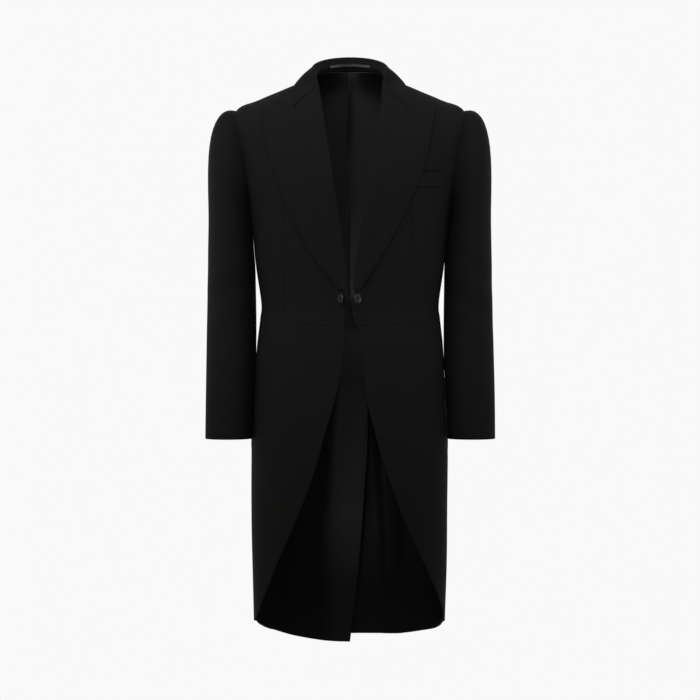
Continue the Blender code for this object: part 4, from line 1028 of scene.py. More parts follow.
@dataclass
class BackAndTail:
    """The back, cut whole with its tail, and its satin lining."""

    half: Half
    spacing: float = 6.0
    facing: float = 2.5
    pucker: float = 0.8
    pucker_length: float = 11.0
    pucker_reach: float = 14.0
    column_width: float = 20.0
    row_length: float = 38.0
    fold_height: float = -431.0
    ease: float = 2.2
    fold_past: float = 1.5
    pleat_reach: float = 5.5

    def tail_edge(self, rows: Sequence[Row], places: Array, overlap: bool) -> Array:
        """Return pins down an edge of the tail, at places counted in the tail's heights."""
        half = self.half
        bottom = HEM_LINE[0].right
        for _ in range(3):
            heights = np.interp(places, np.arange(len(TAIL_HEIGHTS) + 1), (*TAIL_HEIGHTS, bottom))
            out = half.out(rows, heights)
            if overlap:
                head = -PLEAT_LINE[0].at
                out = out + half.pleat_overlap * smooth_step(head, head + 50, -heights)
            bottom = float(half.hem(out[-1]))
        return BODY.from_front(out, heights, back=True)

    def pins(self) -> Array:
        """Return the back's pins: three patches, from the neck and shoulder down to the hem."""
        half = self.half
        back_rows, side_rows, tail_rows = half.armhole_rows[2], half.side_rows, len(TAIL_HEIGHTS)
        shoulder, neck = half.back_columns
        columns = shoulder + neck
        over = fine_steps(columns, self.column_width, self.spacing)
        down = fine_steps(back_rows + side_rows + tail_rows, self.row_length, self.spacing)
        upper = down[down <= back_rows + side_rows]
        tail = down[down > back_rows + side_rows] - back_rows - side_rows
        side = np.vstack([BODY.along([half.armhole[2][::-1], half.side_back_seam], (back_rows, side_rows), upper),
                          self.tail_edge(PLEAT_LINE, tail, True)])
        head = BODY.from_front(0.0, ARMHOLE_BACK[0].height, back=True)
        tail_middle = self.tail_edge(CENTRE_BACK_EDGE, tail, False)
        middle = np.vstack([BODY.along([straight(CENTRE_NECK, head), straight(head, (math.pi, WAIST_LEVEL))],
                                       (back_rows, side_rows), upper), tail_middle])
        ahead = np.clip((upper - back_rows) / side_rows, 0, 1) ** 6
        middle[:len(upper), 0] += ahead * (tail_middle[0, 0] - math.pi)
        top = BODY.along([straight(SHOULDER_TIP, SHOULDER_NECK), straight(SHOULDER_NECK, CENTRE_NECK)],
                         (shoulder, neck), over)
        out = np.linspace(BODY.points(side[-1])[0], BODY.points(middle[-1])[0], 60)
        hem = BODY.from_front(out, half.hem(out), back=True)
        hem[0], hem[-1] = side[-1], middle[-1]
        share = over / columns
        ends = np.array((0, back_rows, back_rows + side_rows, back_rows + side_rows + tail_rows))
        at = [int(np.argmin(np.abs(down - end))) for end in ends]
        lines = [top, *[BODY.sample(straight(side[k], middle[k]), share) for k in at[1:3]], BODY.sample(hem, share)]
        return join(*[blend_patch(lines[k], lines[k + 1], side[at[k]:at[k + 1] + 1], middle[at[k]:at[k + 1] + 1],
                                  share, (down[at[k]:at[k + 1] + 1] - down[at[k]]) / (down[at[k + 1]] - down[at[k]]))
                      for k in range(3)])

    def puckers(self, pins: Array) -> Array:
        """Return the felled vent edge's small waves: a sine down the edge that dies away beside it."""
        height = BODY.points(pins)[..., 2]
        beside = self.half.past_middle(pins) - self.half.out(CENTRE_BACK_EDGE, height)
        wave = np.sin(height * 2 * math.pi / self.pucker_length + 2.2 * np.sin(height * 0.05))
        below = smooth_step(-VENT_HEAD, 30 - VENT_HEAD, -height)
        return self.pucker * wave * np.exp(-beside / self.pucker_reach) * below

    def build(self) -> None:
        """Build and dress the back and its lining."""
        half, word, pins = self.half, self.half.side.word, self.pins()
        lift = half.tail_lift(pins) + self.puckers(pins)
        hung(half.cloth(f"back_{word}", pins, lift, half.wool), WOOL)
        inner = self.lining_pins(self.facing)
        lining = half.cloth(f"lining_back_{word}", inner, self.lining_lift(inner), half.lining)
        hung(lining, SATIN[half.side])

    def lining_pins(self, facing: float) -> Array:
        """Return the lining's pins: the back's, drawn in from the vent, the hem and the pleat.

        Above the vent the left half runs on past the middle, as the ease pleat of a lining does.
        """
        half, pins = self.half, self.pins()
        places = BODY.points(pins)
        height = places[:, -1, 2]
        vent = np.where(height < VENT_HEAD, facing, 0.2)
        head = PLEAT_LINE[0].at
        side = 0.4 + half.pleat_overlap * smooth_step(-head, 50 - head, -places[:, 0, 2])
        inner = trimmed(pins, places, side, vent)
        columns = inner.transpose(1, 0, 2)
        inner = trimmed(columns, BODY.points(columns), 0.2, facing).transpose(1, 0, 2)
        if half.side is Side.LEFT:
            reach = self.pleat_reach * smooth_step(-VENT_HEAD, -VENT_HEAD - 60, -BODY.points(inner)[..., 2])
            near = smooth_step(-60.0, 0.0, -BODY.points(inner)[..., 0])
            inner[..., 0] += near * reach / BODY.sizes(inner[..., 1])[..., 3]
        return inner

    def lining_lift(self, pins: Array) -> Array:
        """Return the lining's lift: inside the wool, and eased out in a fold that ends at the waist."""
        half = self.half
        height = BODY.points(pins)[..., 2]
        fold = smooth_step(-60.0, 0.0, self.fold_height - height) * (height > self.fold_height)
        past = smooth_step(0.0, 2.0, (pins[..., 0] - math.pi) * 100) * smooth_step(VENT_HEAD, VENT_HEAD + 30, height)
        return (half.tail_lift(pins) + self.puckers(pins) - half.wool - half.lining_gap - self.ease * fold
                - self.fold_past * past)


@dataclass
class Skirt:
    """The skirt, which sweeps from the front edge round to the pleat, and its lining."""

    half: Half
    spacing: float = 6.0
    inset: float = 3.0
    behind: float = 0.6
    cover: float = 5.0
    hem_start: float = 181.5
    gap: float = 1.7
    width: float = 330.0
    length: float = 610.0
    reach: float = 184.0

    def pins(self, inset: float = 0.0, behind: float = 0.0) -> Array:
        """Return the skirt's pins.

        Args:
            inset: how far a lining keeps back from the free edges.
            behind: how far a lining keeps back from the pleat.
        """
        half = self.half
        heights = np.array((*TAIL_HEIGHTS, HEM_LINE[0].right), float)
        out = half.out(PLEAT_LINE, heights) + behind
        heights[-1] = half.hem(out[-1]) + inset
        pleat = BODY.from_front(*through(np.stack([out, heights], -1)).T, back=True)
        pleat[0] = half.side_back_seam[-1]
        edge = half.rows_of(FRONT_EDGE)
        edge = edge[edge[:, 0] < FRONT_EDGE[2].at]
        edge = BODY.from_front(np.minimum(edge[:, 1] + inset, self.reach), edge[:, 0] + inset * 0.35)
        edge = np.vstack([half.edge_at_waist, edge[edge[:, 1] > WAIST_LEVEL + LEVEL_MARGIN]])
        top = join(half.waist_front, half.waist_side)
        hem_out = np.linspace(self.hem_start, BODY.points(pleat[-1])[0], 60)
        hem = BODY.from_front(hem_out, half.hem(hem_out) + inset, back=True)
        hem = np.vstack([edge[-1:], hem[:-1], pleat[-1:]])
        over, down = (fine_steps(1.0, size, self.spacing) for size in (self.width, self.length))
        return blend_patch(BODY.sample(top, over), BODY.sample(hem, over), BODY.sample(edge, down),
                           BODY.sample(pleat, down), over, down)

    def build(self) -> None:
        """Build and dress the skirt and its lining."""
        half, word = self.half, self.half.side.word
        pins = self.pins()
        hung(half.cloth(f"skirt_{word}", pins, half.lip(pins), half.wool), WOOL)
        pins = self.pins(self.inset, self.behind)
        places = BODY.points(pins)
        near = smooth_step(-60.0, -25.0, half.out(PLEAT_LINE, places[..., 2]) - places[..., 0])
        near *= (pins[..., 0] > math.pi / 2) * smooth_step(452.0, 500.0, -places[..., 2])
        lift = -half.wool - self.gap - self.cover * near
        hung(half.cloth(f"lining_skirt_{word}", pins, lift, half.lining), SATIN[half.side])


@dataclass
class Sleeve:
    """The sleeve of one half, in a top and an under sleeve, from the armhole to the cuff."""

    half: Half
    spacing: float = 5.5
    tuck: float = 3.0
    sunk: float = 2.2
    stand: float = -1.3
    rope: float = 1.6
    spring: float = 0.95
    fore_seam: float = 6.0
    hind_seam: float = 13.0
    head_steps: int = 16
    sink_forward: float = 0.55
    sink_down: float = 0.2
    under_flat: float = 0.75
    under_drop: float = 0.9
    crowding: float = 1.3
    ring_spans: int = 8
    row_width: float = 22.0
    rim_row: float = 6.0
    fold_height: float = 1.3
    wave_height: float = 0.7

    AXIS = np.array((230.0, 0.0, 0.0))

    def grid(self, places: Array) -> Array:
        """Return the sleeve's outer face: a Hermite bridge over the head, then a line through rings.

        Args:
            places: places round the armhole, counted in its rows.
        """
        half = self.half
        pins = BODY.along(half.armhole, half.armhole_rows, places % sum(half.armhole_rows))
        whole = BODY.points(BODY.along(half.armhole, half.armhole_rows, np.arange(sum(half.armhole_rows))))
        middle = (whole.min(axis=0) + whole.max(axis=0)) / 2
        reach = (whole.max(axis=0) - whole.min(axis=0)) / 2
        spoke = (BODY.points(pins) - middle) / reach * (0, 1, 1)
        turn = np.unwrap(np.arctan2(-spoke[:, 1], spoke[:, 2]))
        base, out = BODY.points(pins), BODY.normals(pins)
        under = unit(np.array((-1.0, 0.0, 0.0)) + out * out[:, :1])
        start = base + out * self.stand
        tucked = (base + under * self.tuck - out * self.sunk)[None]
        height, inner, outer, front, back = through(SLEEVE_RINGS, self.ring_spans).T[..., None]
        rings = np.stack([(inner + outer) / 2 + (outer - inner) / 2 * np.cos(turn),
                          (front + back) / 2 - (back - front) / 2 * np.sin(turn),
                          np.broadcast_to(height, (len(height), len(turn)))], -1)
        arrive = rings[self.ring_spans] - rings[0]
        reach = np.linalg.norm(rings[0] - start, axis=1)[:, None] * self.spring
        below = np.clip(-np.cos(turn), 0, 1) ** 2
        leave = unit(np.stack([1 - self.under_flat * below, -self.sink_forward * np.sin(turn),
                               self.sink_down * np.cos(turn) - self.under_drop * below], -1))
        u = np.linspace(0, 1, self.head_steps, endpoint=False)[:, None, None] ** self.crowding
        head = hermite(start, leave * reach, rings[0], unit(arrive) * reach, u)
        radial = np.stack([np.zeros_like(turn), -np.sin(turn), np.cos(turn)], -1) * (1 - below)[:, None]
        head = head + radial * self.rope * smooth_step(0.0, 0.12, u) * (1 - smooth_step(0.3, 0.9, u))
        return np.concatenate([tucked, head, rings])

    def creased(self, outer: Array, normal: Array) -> Array:
        """Return the sleeve with soft folds at the elbow and slow waves down its length."""
        x, y, z = np.moveaxis(outer, -1, 0)
        aside, turned = x - self.AXIS[0], self.half.side.value
        elbow = np.exp(-((z + 400.0) / 70.0) ** 2) * smooth_step(-10.0, 45.0, -y)
        folds = np.sin((z * 0.62 + aside * 0.5 + turned * 9.0) * 0.13)
        waves = np.sin(np.arctan2(aside, -y) * 3.0 + z * 0.006 + turned)
        fade = smooth_step(0.0, 60.0, -50.0 - z)
        return outer + normal * (self.fold_height * elbow * folds + self.wave_height * waves * fade)[..., None]

    def build(self) -> None:
        """Build and dress both sleeve pieces."""
        half, word = self.half, self.half.side.word
        around = sum(half.armhole_rows)
        for name, first, last in (("under", self.fore_seam, self.hind_seam),
                                  ("top", self.hind_seam, around + self.fore_seam)):
            outer = self.grid(first + fine_steps(last - first, self.row_width, self.spacing))
            rows, near = np.arange(len(outer)), RIM_PLACES[:-1] / self.rim_row
            down = np.concatenate([near, rows[1:-1], rows[-1] - near[::-1]])
            outer = np.stack([np.stack([np.interp(down, rows, column[:, k]) for k in range(3)], -1)
                              for column in outer.transpose(1, 0, 2)], axis=1)
            normal = grid_normals(outer)
            normal = normal * np.sign(np.sum(normal * (outer - self.AXIS) * (1, 1, 0)))
            outer = self.creased(outer, normal)
            hung(Cloth(f"sleeve_{name}_{word}", outer, normal, half.wool, half.side), WOOL)


@dataclass
class CollarAndLapels:
    """The turned collar in one piece and the two lapels, which share their gorge seams."""

    halves: tuple[Half, Half]
    cloth: float = 2.6
    fold_rows: int = 12
    gorge_rows: int = 3
    lapel_rows: int = 16
    stand_foot: float = 0.982
    stand_lift: float = -0.5
    fall_lift: float = 4.0
    fold_reach: float = 2.6
    fall_bulge: float = 6.0
    foot_lift: float = -1.2
    foot_reach: float = 1.8
    soft_roll: float = 1.6
    soft_width: float = 34.0
    rows_per_unit: int = 4
    spacing: float = 5.0
    leaf_length: float = 55.0
    leaf_row: float = 15.0
    gorge_row: float = 24.0
    stand_height: float = 40.0
    stand_rows: int = 9
    settled: tuple[float, float] = (0.55, 0.78)
    lapel_row: float = 25.0
    lapel_width: float = 16.0

    FOLD = ((math.radians(130), 0.0), (math.radians(100), 0.0), (math.radians(84), 0.03))
    STAND_END = math.radians(70)
    EDGE = ((math.pi, 1.5), (math.radians(150), 1.5), (math.radians(118), 1.54), (math.radians(92), 1.58),
            (math.radians(80), 1.83))
    ARC = np.radians((-70.0, -45.0, -20.0, 0.0, 22.0, 45.0, 68.0))
    CHEST = np.array((0.0, 0.0, -200.0))

    def fold_line(self, half: Half, places: Array) -> Array:
        """Return pins of the line where collar and lapel fold, at places counted in rows."""
        fold = through([(math.pi, 0.0), *self.FOLD, half.corner(GORGE_TOP)])
        roll = half.line(ROLL_LINE, GORGE_TOP[half.side])
        return BODY.along([fold, roll], (self.fold_rows, self.lapel_rows), places)

    def gorge(self, half: Half) -> Array:
        """Return the gorge seam's pins."""
        return through([half.corner(places) for places in (GORGE_TOP, GORGE_BEND, GORGE_CORNER)])

    def leaf_end(self, half: Half) -> Array:
        """Return the pins of the leaf's end, from the gorge to its corner."""
        return straight(half.corner(GORGE_CORNER), half.corner(LEAF_CORNER))

    def arc(self, half: Half, pins: Array, angles: Array, away: Array) -> Array:
        """Return the fold's half ellipse over each pin: centre + away reach cos + normal lift sin."""
        lift = self.fall_lift / 2
        base, normal = half.raised(pins, lift + half.lip(pins))
        return (base[:, None] + away[:, None] * self.fold_reach * np.cos(angles)[:, None]
                + normal[:, None] * lift * np.sin(angles)[:, None])

    @staticmethod
    def away(pins: Array) -> Array:
        """Return unit vectors square to the fold line, towards the coat's opening."""
        return unit(np.cross(np.gradient(BODY.points(pins), axis=0), BODY.normals(pins)))

    def collar_half(self, half: Half) -> Array:
        """Return the collar's middle surface on one side: stand, fold and fall, from back to leaf's end."""
        total = self.fold_rows + self.gorge_rows
        down = np.unique(np.concatenate([np.linspace(0, total, total * self.rows_per_unit + 1),
                                         total - RIM_PLACES / self.leaf_row,
                                         self.fold_rows - RIM_PLACES / self.leaf_row,
                                         self.fold_rows + RIM_PLACES / self.gorge_row]))
        whole = down <= self.fold_rows + 1e-9
        fold = self.fold_line(half, down[whole])
        foot = straight((math.pi, self.stand_foot), (self.STAND_END, self.stand_foot))
        seam = BODY.sample(foot, down[whole] / self.fold_rows)
        inner = np.vstack([fold, BODY.sample(self.gorge(half), (down[~whole] - self.fold_rows) / self.gorge_rows)])
        edge = BODY.sample(through([*self.EDGE, half.corner(LEAF_CORNER)]), down / total)
        share = fine_steps(1.0, self.leaf_length, self.spacing, (False, True))
        leaf = BODY.sample(self.leaf_end(half), share)
        back = BODY.sample(straight(fold[0], edge[0]), share)
        fall = blend_patch(back, leaf, inner, edge, share, down / total)
        lying, normal = half.raised(fall, self.fall_lift)
        s = share[None, :, None]
        first, last = lying[:, :1], lying[:, -1:]
        third = np.argmin(np.abs(share - 1 / 3))
        bulge = (first + last) / 2 + normal[:, third:third + 1] * self.fall_bulge
        bridge = first * (1 - s) ** 2 + bulge * 2 * s * (1 - s) + last * s**2
        stands = np.sum((bridge - BODY.points(fall)) * normal, axis=-1)
        bridge = bridge + normal * np.maximum(self.fall_lift - stands, 0)[..., None]
        bridged = bridge + (lying - bridge) * smooth_step(*self.settled, (down / total)[:, None, None])
        steps = np.concatenate([RIM_PLACES[:-1] / self.stand_height, np.linspace(0.06, 0.97, self.stand_rows)])
        stand = np.stack([half.raised(seam + (fold - seam) * part, self.stand_lift)[0] for part in steps], axis=1)
        arc = self.arc(half, fold, self.ARC, self.away(fold))
        behind = np.full((len(down), stand.shape[1] + arc.shape[1], 3), np.nan)
        behind[whole] = np.concatenate([stand, arc], axis=1)
        return np.concatenate([behind, bridged], axis=1)

    def collar(self) -> Cloth:
        """Return the collar: both halves' middle surfaces joined at the centre back, given thickness."""
        left, right = (self.collar_half(half) for half in self.halves)
        middle = np.concatenate([(right * (-1, 1, 1))[:0:-1], left])
        stand = int(np.argmax(~np.isnan(middle[0, :, 0])))
        whole = ~np.isnan(middle[:, 0, 0])
        normal = np.full(middle.shape, np.nan)
        normal[:, stand:] = grid_normals(middle[:, stand:])
        normal[whole] = grid_normals(middle[whole])
        fall = normal[:, -4]
        away = np.sign(np.nansum(fall * (middle[:, -4] - self.CHEST)))
        return Cloth("collar", middle + normal * away * self.cloth / 2, normal * away, self.cloth)

    def lapel(self, half: Half) -> Cloth:
        """Return a lapel: foot behind the edge, soft fold, and the face lying on the chest."""
        down = fine_steps(self.lapel_rows, self.lapel_row, self.spacing)
        roll = self.fold_line(half, self.fold_rows + down)
        edge = BODY.sample(half.line(LAPEL_EDGE, PEAK_TIP[half.side]), down / self.lapel_rows)
        over = fine_steps(9.0, self.lapel_width, 4.0, (False, True))
        stretches = [self.gorge(half), self.leaf_end(half), straight(half.corner(LEAF_CORNER), edge[0])]
        top = BODY.along(stretches, (3, 3, 3), over)
        bottom = BODY.sample(straight(roll[-1], edge[-1]), over / 9)
        seen = blend_patch(*(BODY.points(line)[:, ::2] for line in (top, bottom, roll, edge)), over / 9,
                           down / self.lapel_rows)
        pins = BODY.from_front(seen[..., 0], seen[..., 1])
        beside = np.clip(lengths(BODY.points(pins), 1) / self.soft_width, 0, 1)
        soft = self.soft_roll * np.sin(beside * math.pi) ** 2 * smooth_step(0, 4, down)[:, None]
        lying, _ = half.raised(pins, self.fall_lift + half.lip(pins) + soft)
        away = self.away(roll)
        base, normal = half.raised(roll, self.foot_lift + half.lip(roll))
        foot = (base + away * self.foot_reach)[:, None]
        rims = RIM_PLACES[1:-1][None, :, None]
        arc = self.arc(half, roll, self.ARC[1:], away)
        foot = np.concatenate([foot, foot + normal[:, None] * rims], axis=1)
        middle = np.concatenate([foot, arc, lying], axis=1)
        normals = grid_normals(middle)
        sign = np.sign(np.sum(normals[:, -6:] * BODY.normals(pins)[:, -6:]))
        return Cloth(f"lapel_{half.side.word}", middle + normals * sign * self.cloth / 2, normals * sign,
                     self.cloth, half.side)

    def build(self) -> None:
        """Build and dress the collar and both lapels."""
        hung(self.collar(), WOOL)
        for half in self.halves:
            hung(self.lapel(half), WOOL)


@dataclass
class BreastPocket:
    """The welt of the breast pocket, on the wearer's left, its inner end under the lapel."""

    half: Half
    ends: tuple[Place, Place] = (Place(84.0, -181.0), Place(172.0, -174.5))
    height: float = 26.0
    thickness: float = 1.2
    gap: float = 0.5
    length: float = 90.0
    spacing: float = 4.0
    rim: float = 0.8

    def build(self) -> None:
        """Build the welt on its forepart: a strip that follows the chest, moved out."""
        over, down = (fine_steps(1.0, size, self.spacing) for size in (self.length, self.height))
        start, end = self.ends
        out = start[0] + (end[0] - start[0]) * over[None, :]
        top = start[1] + (end[1] - start[1]) * over[None, :] - self.height * down[:, None]
        pins = BODY.from_front(np.broadcast_to(out, top.shape), top)
        cloth = self.half.cloth("breast_welt", pins, self.thickness + self.gap, self.thickness)
        cloth.rim = self.rim
        hung(cloth, WOOL)


@dataclass
class Button:
    """A dished button with four holes, and the thread through them."""

    radius: float = 10.0
    thickness: float = 3.4
    sides: int = 56
    hole_radius: float = 1.2
    hole_out: float = 2.6
    thread_radius: float = 0.16
    thread_apart: float = 0.34
    thread_foot: float = 0.1
    thread_rise: float = 0.95

    PROFILE = ((0.0, -1.7), (6.0, -1.7), (8.2, -1.7), (9.1, -1.35), (9.7, -0.8), (10.0, 0.0), (9.95, 0.7), (9.6, 1.3),
               (9.0, 1.62), (8.5, 1.7), (8.0, 1.62), (7.5, 1.35), (6.9, 0.95), (6.0, 0.7), (4.0, 0.55), (0.0, 0.5))

    def frame(self, face: Array) -> Array:
        """Return the button's own axes as rows: over, up and face."""
        over = unit(np.cross(face, (0.0, 0.0, 1.0)))
        return np.stack([over, np.cross(over, face), face])

    def disc(self, centre: Array, axes: Array) -> tuple[Array, list]:
        """Return the turned disc: the profile's radii and heights carried round the axis."""
        profile = np.array(self.PROFILE)
        turn = circle_angles(self.sides)
        ring = profile[1:-1]
        local = np.stack([ring[:, :1] * np.cos(turn), ring[:, :1] * np.sin(turn),
                          np.broadcast_to(ring[:, 1:], (len(ring), self.sides))], -1).reshape(-1, 3)
        poles = np.array(((0, 0, profile[0, 1]), (0, 0, profile[-1, 1])))
        points = centre + np.vstack([local, poles]) @ axes
        index, quads = ring_quads(len(ring), self.sides)
        low = [(after, here, len(local)) for here, after in zip(index[0], np.roll(index[0], -1))]
        high = [(here, after, len(local) + 1) for here, after in zip(index[-1], np.roll(index[-1], -1))]
        return points, quads + low + high

    def holes(self) -> Array:
        """Return the four holes' places on the face."""
        turn = np.radians((45.0, 135.0, 225.0, 315.0))
        return np.stack([np.cos(turn), np.sin(turn), np.zeros(4)], -1) * self.hole_out

    def build(self, kind: str, side: Side, centre: Array, face: Array) -> None:
        """Build a button with its holes cut through, and its thread.

        Args:
            kind: the node that it stands for, without its side.
            side: the half it is on; the right one is mirrored.
            centre: its centre on the left half.
            face: the unit vector it faces there.
        """
        node, across = f"{kind}_{side.word}", np.array((side.value, 1, 1))
        centre, face = centre * across, face * across
        axes, holes = self.frame(face), self.holes()
        thing = add_object(f"{node}_horn", *self.disc(centre, axes))
        through_disc = np.array((-self.thickness, self.thickness))[:, None] * face
        drills = add_object("drills", *merged([tube(centre + hole @ axes + through_disc, self.hole_radius, 14)
                                               for hole in holes]))
        cut = thing.modifiers.new("holes", "BOOLEAN")
        cut.operation, cut.solver, cut.object = "DIFFERENCE", "EXACT", drills
        evaluated = thing.evaluated_get(bpy.context.evaluated_depsgraph_get())
        mesh = bpy.data.meshes.new_from_object(evaluated)
        thing.modifiers.remove(cut)
        thing.data = mesh
        mesh.name = thing.name
        mesh.set_sharp_from_angle(angle=math.radians(38))
        bpy.data.objects.remove(drills, do_unlink=True)
        dressed(thing, HORN, node)
        bend = np.linspace(0, math.pi, 11)[:, None]
        strands = []
        for start, end in ((holes[0], holes[1]), (holes[3], holes[2])):
            arch = ((start + end) / 2 + (start - end) / 2 * np.cos(bend)
                    + np.array((0, 0, 1.0)) * (self.thread_foot + self.thread_rise * np.sin(bend)))
            strands += [tube(centre + (arch + (0, shift, 0)) @ axes, self.thread_radius, 6)
                        for shift in (-self.thread_apart, 0.0, self.thread_apart)]
        dressed(add_object(f"{node}_horn_thread", *merged(strands)), THREAD)


@dataclass
class Fastening:
    """The link at the waist: two buttons on the front edges and the wound thread between them."""

    halves: tuple[Half, Half]
    button: Button = field(default_factory=Button)
    gap: float = 0.3
    link_half_span: float = 15.0
    link_radius: float = 1.3
    link_gap: float = 0.6
    wire: float = 0.42
    turns: int = 34

    OUT = {Side.RIGHT: 17.3, Side.LEFT: 14.4}
    TILT = {Side.RIGHT: math.radians(68), Side.LEFT: math.radians(55)}

    def depth(self, half: Half, out: Array | float) -> Array:
        """Return the depth of the forepart's face at the link's height, seen from the front."""
        pins = BODY.from_front(out, LINK_HEIGHT)
        return (BODY.points(pins) + BODY.normals(pins) * half.lip(pins)[..., None])[..., 1]

    def build(self) -> None:
        """Build both buttons and the link."""
        for half in self.halves:
            tilt, out = self.TILT[half.side], self.OUT[half.side]
            face = np.array((math.sin(tilt), -math.cos(tilt), 0.0))
            over = np.array((math.cos(tilt), math.sin(tilt), 0.0))
            rim = over * np.linspace(-1, 1, 9)[:, None] * self.button.radius - face * self.button.thickness / 2
            centre = np.array((out, np.min(self.depth(half, out + rim[:, 0]) - rim[:, 1]) - self.gap, LINK_HEIGHT))
            self.button.build("link_button", half.side, centre, face)
        turn = np.linspace(0, self.turns * 2 * math.pi, self.turns * 10)
        ring, end = self.link_radius - self.wire, self.link_half_span - self.wire
        depth = max(float(self.depth(half, self.link_half_span)) for half in self.halves)
        depth += self.halves[0].wool + self.link_radius + self.link_gap
        helix = np.stack([np.linspace(-end, end, len(turn)), depth + ring * np.cos(turn),
                          LINK_HEIGHT + ring * np.sin(turn)], -1)
        core = tube(np.array(((-end, depth, LINK_HEIGHT), (end, depth, LINK_HEIGHT))), ring, 16)
        dressed(add_object("link_thread", *merged([tube(helix, self.wire, 6), core])), THREAD, "link")


@dataclass
class WaistButtons:
    """The two buttons that head the pleats at the back of the waist."""

    halves: tuple[Half, Half]
    button: Button = field(default_factory=Button)
    gap: float = 1.5
    beside: float = 6.0
    above: float = 8.0

    def build(self) -> None:
        """Build both buttons, each facing out from the back."""
        head = PLEAT_LINE[0]
        pin = BODY.from_front(head.left + self.beside, head.at + self.above, back=True)
        face = BODY.normals(pin)
        centre = BODY.points(pin) + face * (self.button.thickness / 2 + self.gap)
        for half in self.halves:
            self.button.build("waist_button", half.side, centre, face)


@dataclass
class HangingLoop:
    """The satin loop inside the collar, sewn down at its ends."""

    half_span: float = 41.5
    width: float = 5.0
    thickness: float = 1.6
    height: float = 47.0
    slack: float = 3.5
    arch: float = 4.8
    collar_face: float = -1.8
    gap: float = 0.4
    rim: float = 0.6

    def build(self) -> None:
        """Build the strap, which stands off the collar in an arch, 1 - s^2."""
        share = fine_steps(2.0, self.half_span, 2.5) - 1
        across = fine_steps(1.0, self.width, 0.8)
        arch = 1 - share**2
        height = self.height + self.arch * arch + self.width * (0.5 - across[:, None])
        pins = BODY.from_front(np.broadcast_to(share * self.half_span, height.shape), height, back=True)
        normal = BODY.normals(pins)
        lift = self.collar_face - self.gap - self.slack * arch
        outer = BODY.points(pins) + normal * np.broadcast_to(lift, height.shape)[..., None]
        cloth = Cloth("hanger_loop", outer, normal, self.thickness, rim=self.rim, ending="satin")
        dressed(cloth.build(), STRAP_SATIN, cloth.node)


@dataclass
class Felling:
    """The felling stitches that hold the linings' edges down inside the vent and hem."""

    halves: tuple[Half, Half]
    pitch: float = 9.0
    length: float = 3.4
    radius: float = 0.5
    inset: float = 8.0
    below_vent: float = 14.0
    arch: float = 0.25
    sunk: float = 0.05

    def stitches(self, half: Half) -> list[tuple[Array, list]]:
        """Return short arched stitches along the lining's vent edge and hem."""
        back = BackAndTail(half)
        inner = back.lining_pins(self.inset)
        edge = inner[BODY.points(inner)[:, -1, 2] < VENT_HEAD - self.below_vent, -1]
        parts = []
        for line in (edge, inner[-1]):
            run = lengths(BODY.points(line), 0)
            count = int(run[-1] / self.pitch)
            at = BODY.sample(line, (np.arange(count) + 0.5) / count)
            base, normal = half.raised(at, back.lining_lift(at) - half.lining)
            way = unit(np.gradient(base, axis=0))
            bend = np.linspace(-1, 1, 5)[:, None]
            for place, along, out in zip(base, way, normal):
                path = place + along * bend * self.length / 2 - out * (self.arch * (1 - bend**2) - self.sunk)
                parts.append(tube(path * (half.side.value, 1, 1), self.radius, 5))
        return parts

    def build(self) -> None:
        """Build the stitches of both halves, a piece for each."""
        for half in self.halves:
            dressed(add_object(f"felling_{half.side.word}_thread", *merged(self.stitches(half))), FELL)


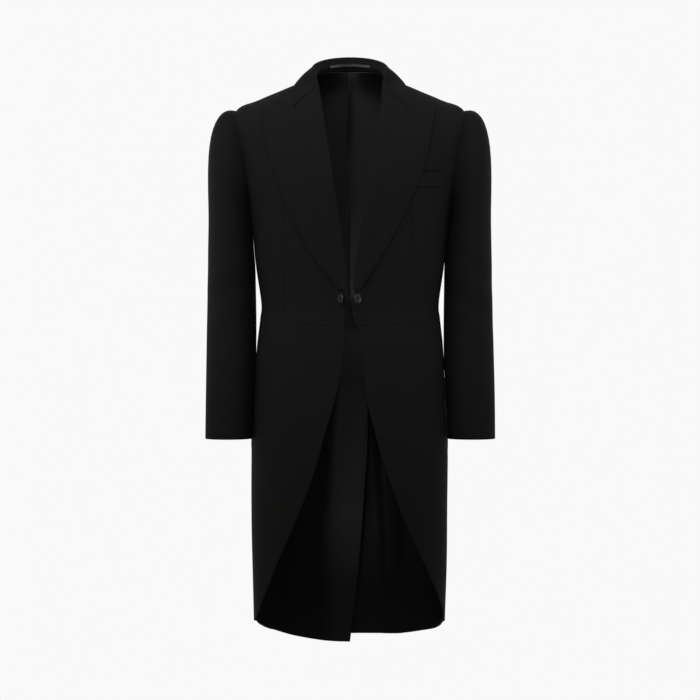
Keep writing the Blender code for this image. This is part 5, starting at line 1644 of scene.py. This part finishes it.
@dataclass
class Studio:
    """The pale floor, the soft lights and the camera at the photograph's viewing angle."""

    distance: float = 3.2
    eye: float = -0.507
    lens: float = 85.7
    sensor: float = 36.0
    floor_height: float = -1.5
    floor_radius: float = 1.3
    floor_sides: int = 96
    floor_colour: str = "#cfcfcd"
    sky: str = "#f9f9f9"

    @staticmethod
    def placed(name: str, data: bpy.types.ID, place: tuple, turn: tuple) -> bpy.types.Object:
        """Put a camera or light into the scene at a place, turned."""
        thing = bpy.data.objects.new(name, data)
        thing.location, thing.rotation_euler = place, turn
        bpy.context.collection.objects.link(thing)
        return thing

    def camera(self) -> None:
        """Place the camera level in front of the coat."""
        camera = bpy.data.cameras.new("camera")
        camera.lens, camera.sensor_width = self.lens, self.sensor
        place = (0.0, -self.distance, self.eye)
        bpy.context.scene.camera = self.placed("camera", camera, place, (math.pi / 2, 0.0, 0.0))

    def floor(self) -> None:
        """Lay a round pale floor below the coat, which hangs clear of it."""
        turn = circle_angles(self.floor_sides)
        rim = np.stack([np.cos(turn), np.sin(turn), np.zeros_like(turn)], -1) * self.floor_radius / MM
        floor = add_object("floor", rim + (0, 0, self.floor_height / MM), [range(self.floor_sides)])
        paper = bpy.data.materials.new("matt white studio paper")
        paper.use_nodes = True
        shader = paper.node_tree.nodes["Principled BSDF"]
        shader.inputs["Base Color"].default_value = linear(self.floor_colour)
        shader.inputs["Roughness"].default_value = 0.9
        floor.data.materials.append(paper)

    def lamp(self, name: str, place: tuple, target: tuple, size: float, power: float) -> None:
        """Hang a square soft light that looks at a target."""
        light = bpy.data.lights.new(name, "AREA")
        light.energy, light.size = power, size
        way = np.array(target) - np.array(place)
        down = math.acos(-way[2] / np.linalg.norm(way))
        self.placed(name, light, place, (down, 0.0, math.atan2(way[1], way[0]) - math.pi / 2))

    def sky_light(self) -> None:
        """Surround the coat with an even white."""
        world = bpy.data.worlds.new("studio white")
        world.use_nodes = True
        ground = world.node_tree.nodes["Background"]
        ground.inputs["Color"].default_value = linear(self.sky)
        ground.inputs["Strength"].default_value = 1.0
        bpy.context.scene.world = world
        bpy.context.scene.view_settings.view_transform = "Standard"

    def build(self) -> None:
        """Set up the whole studio."""
        self.camera()
        self.floor()
        self.sky_light()
        self.lamp("overhead front", (-0.5, -1.5, 1.3), (0.0, 0.0, -0.1), 1.2, 22.0)
        self.lamp("left side", (-1.7, -0.9, 0.6), (0.0, 0.0, -0.3), 1.2, 22.0)
        self.lamp("right side", (1.7, -0.9, 0.6), (0.0, 0.0, -0.3), 1.2, 17.0)


def main() -> None:
    """Load the frame, set up the studio, and build every piece in order."""
    logging.basicConfig(level=logging.INFO, format="%(message)s")
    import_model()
    Studio().build()
    halves = (Half(Side.LEFT), Half(Side.RIGHT))
    CollarAndLapels(halves).build()
    for half in halves:
        Forepart(half).build()
        BackAndTail(half).build()
        Skirt(half).build()
        Sleeve(half).build()
    BreastPocket(halves[0]).build()
    Fastening(halves).build()
    WaistButtons(halves).build()
    HangingLoop().build()
    Felling(halves).build()


if __name__ == "__main__":
    main()
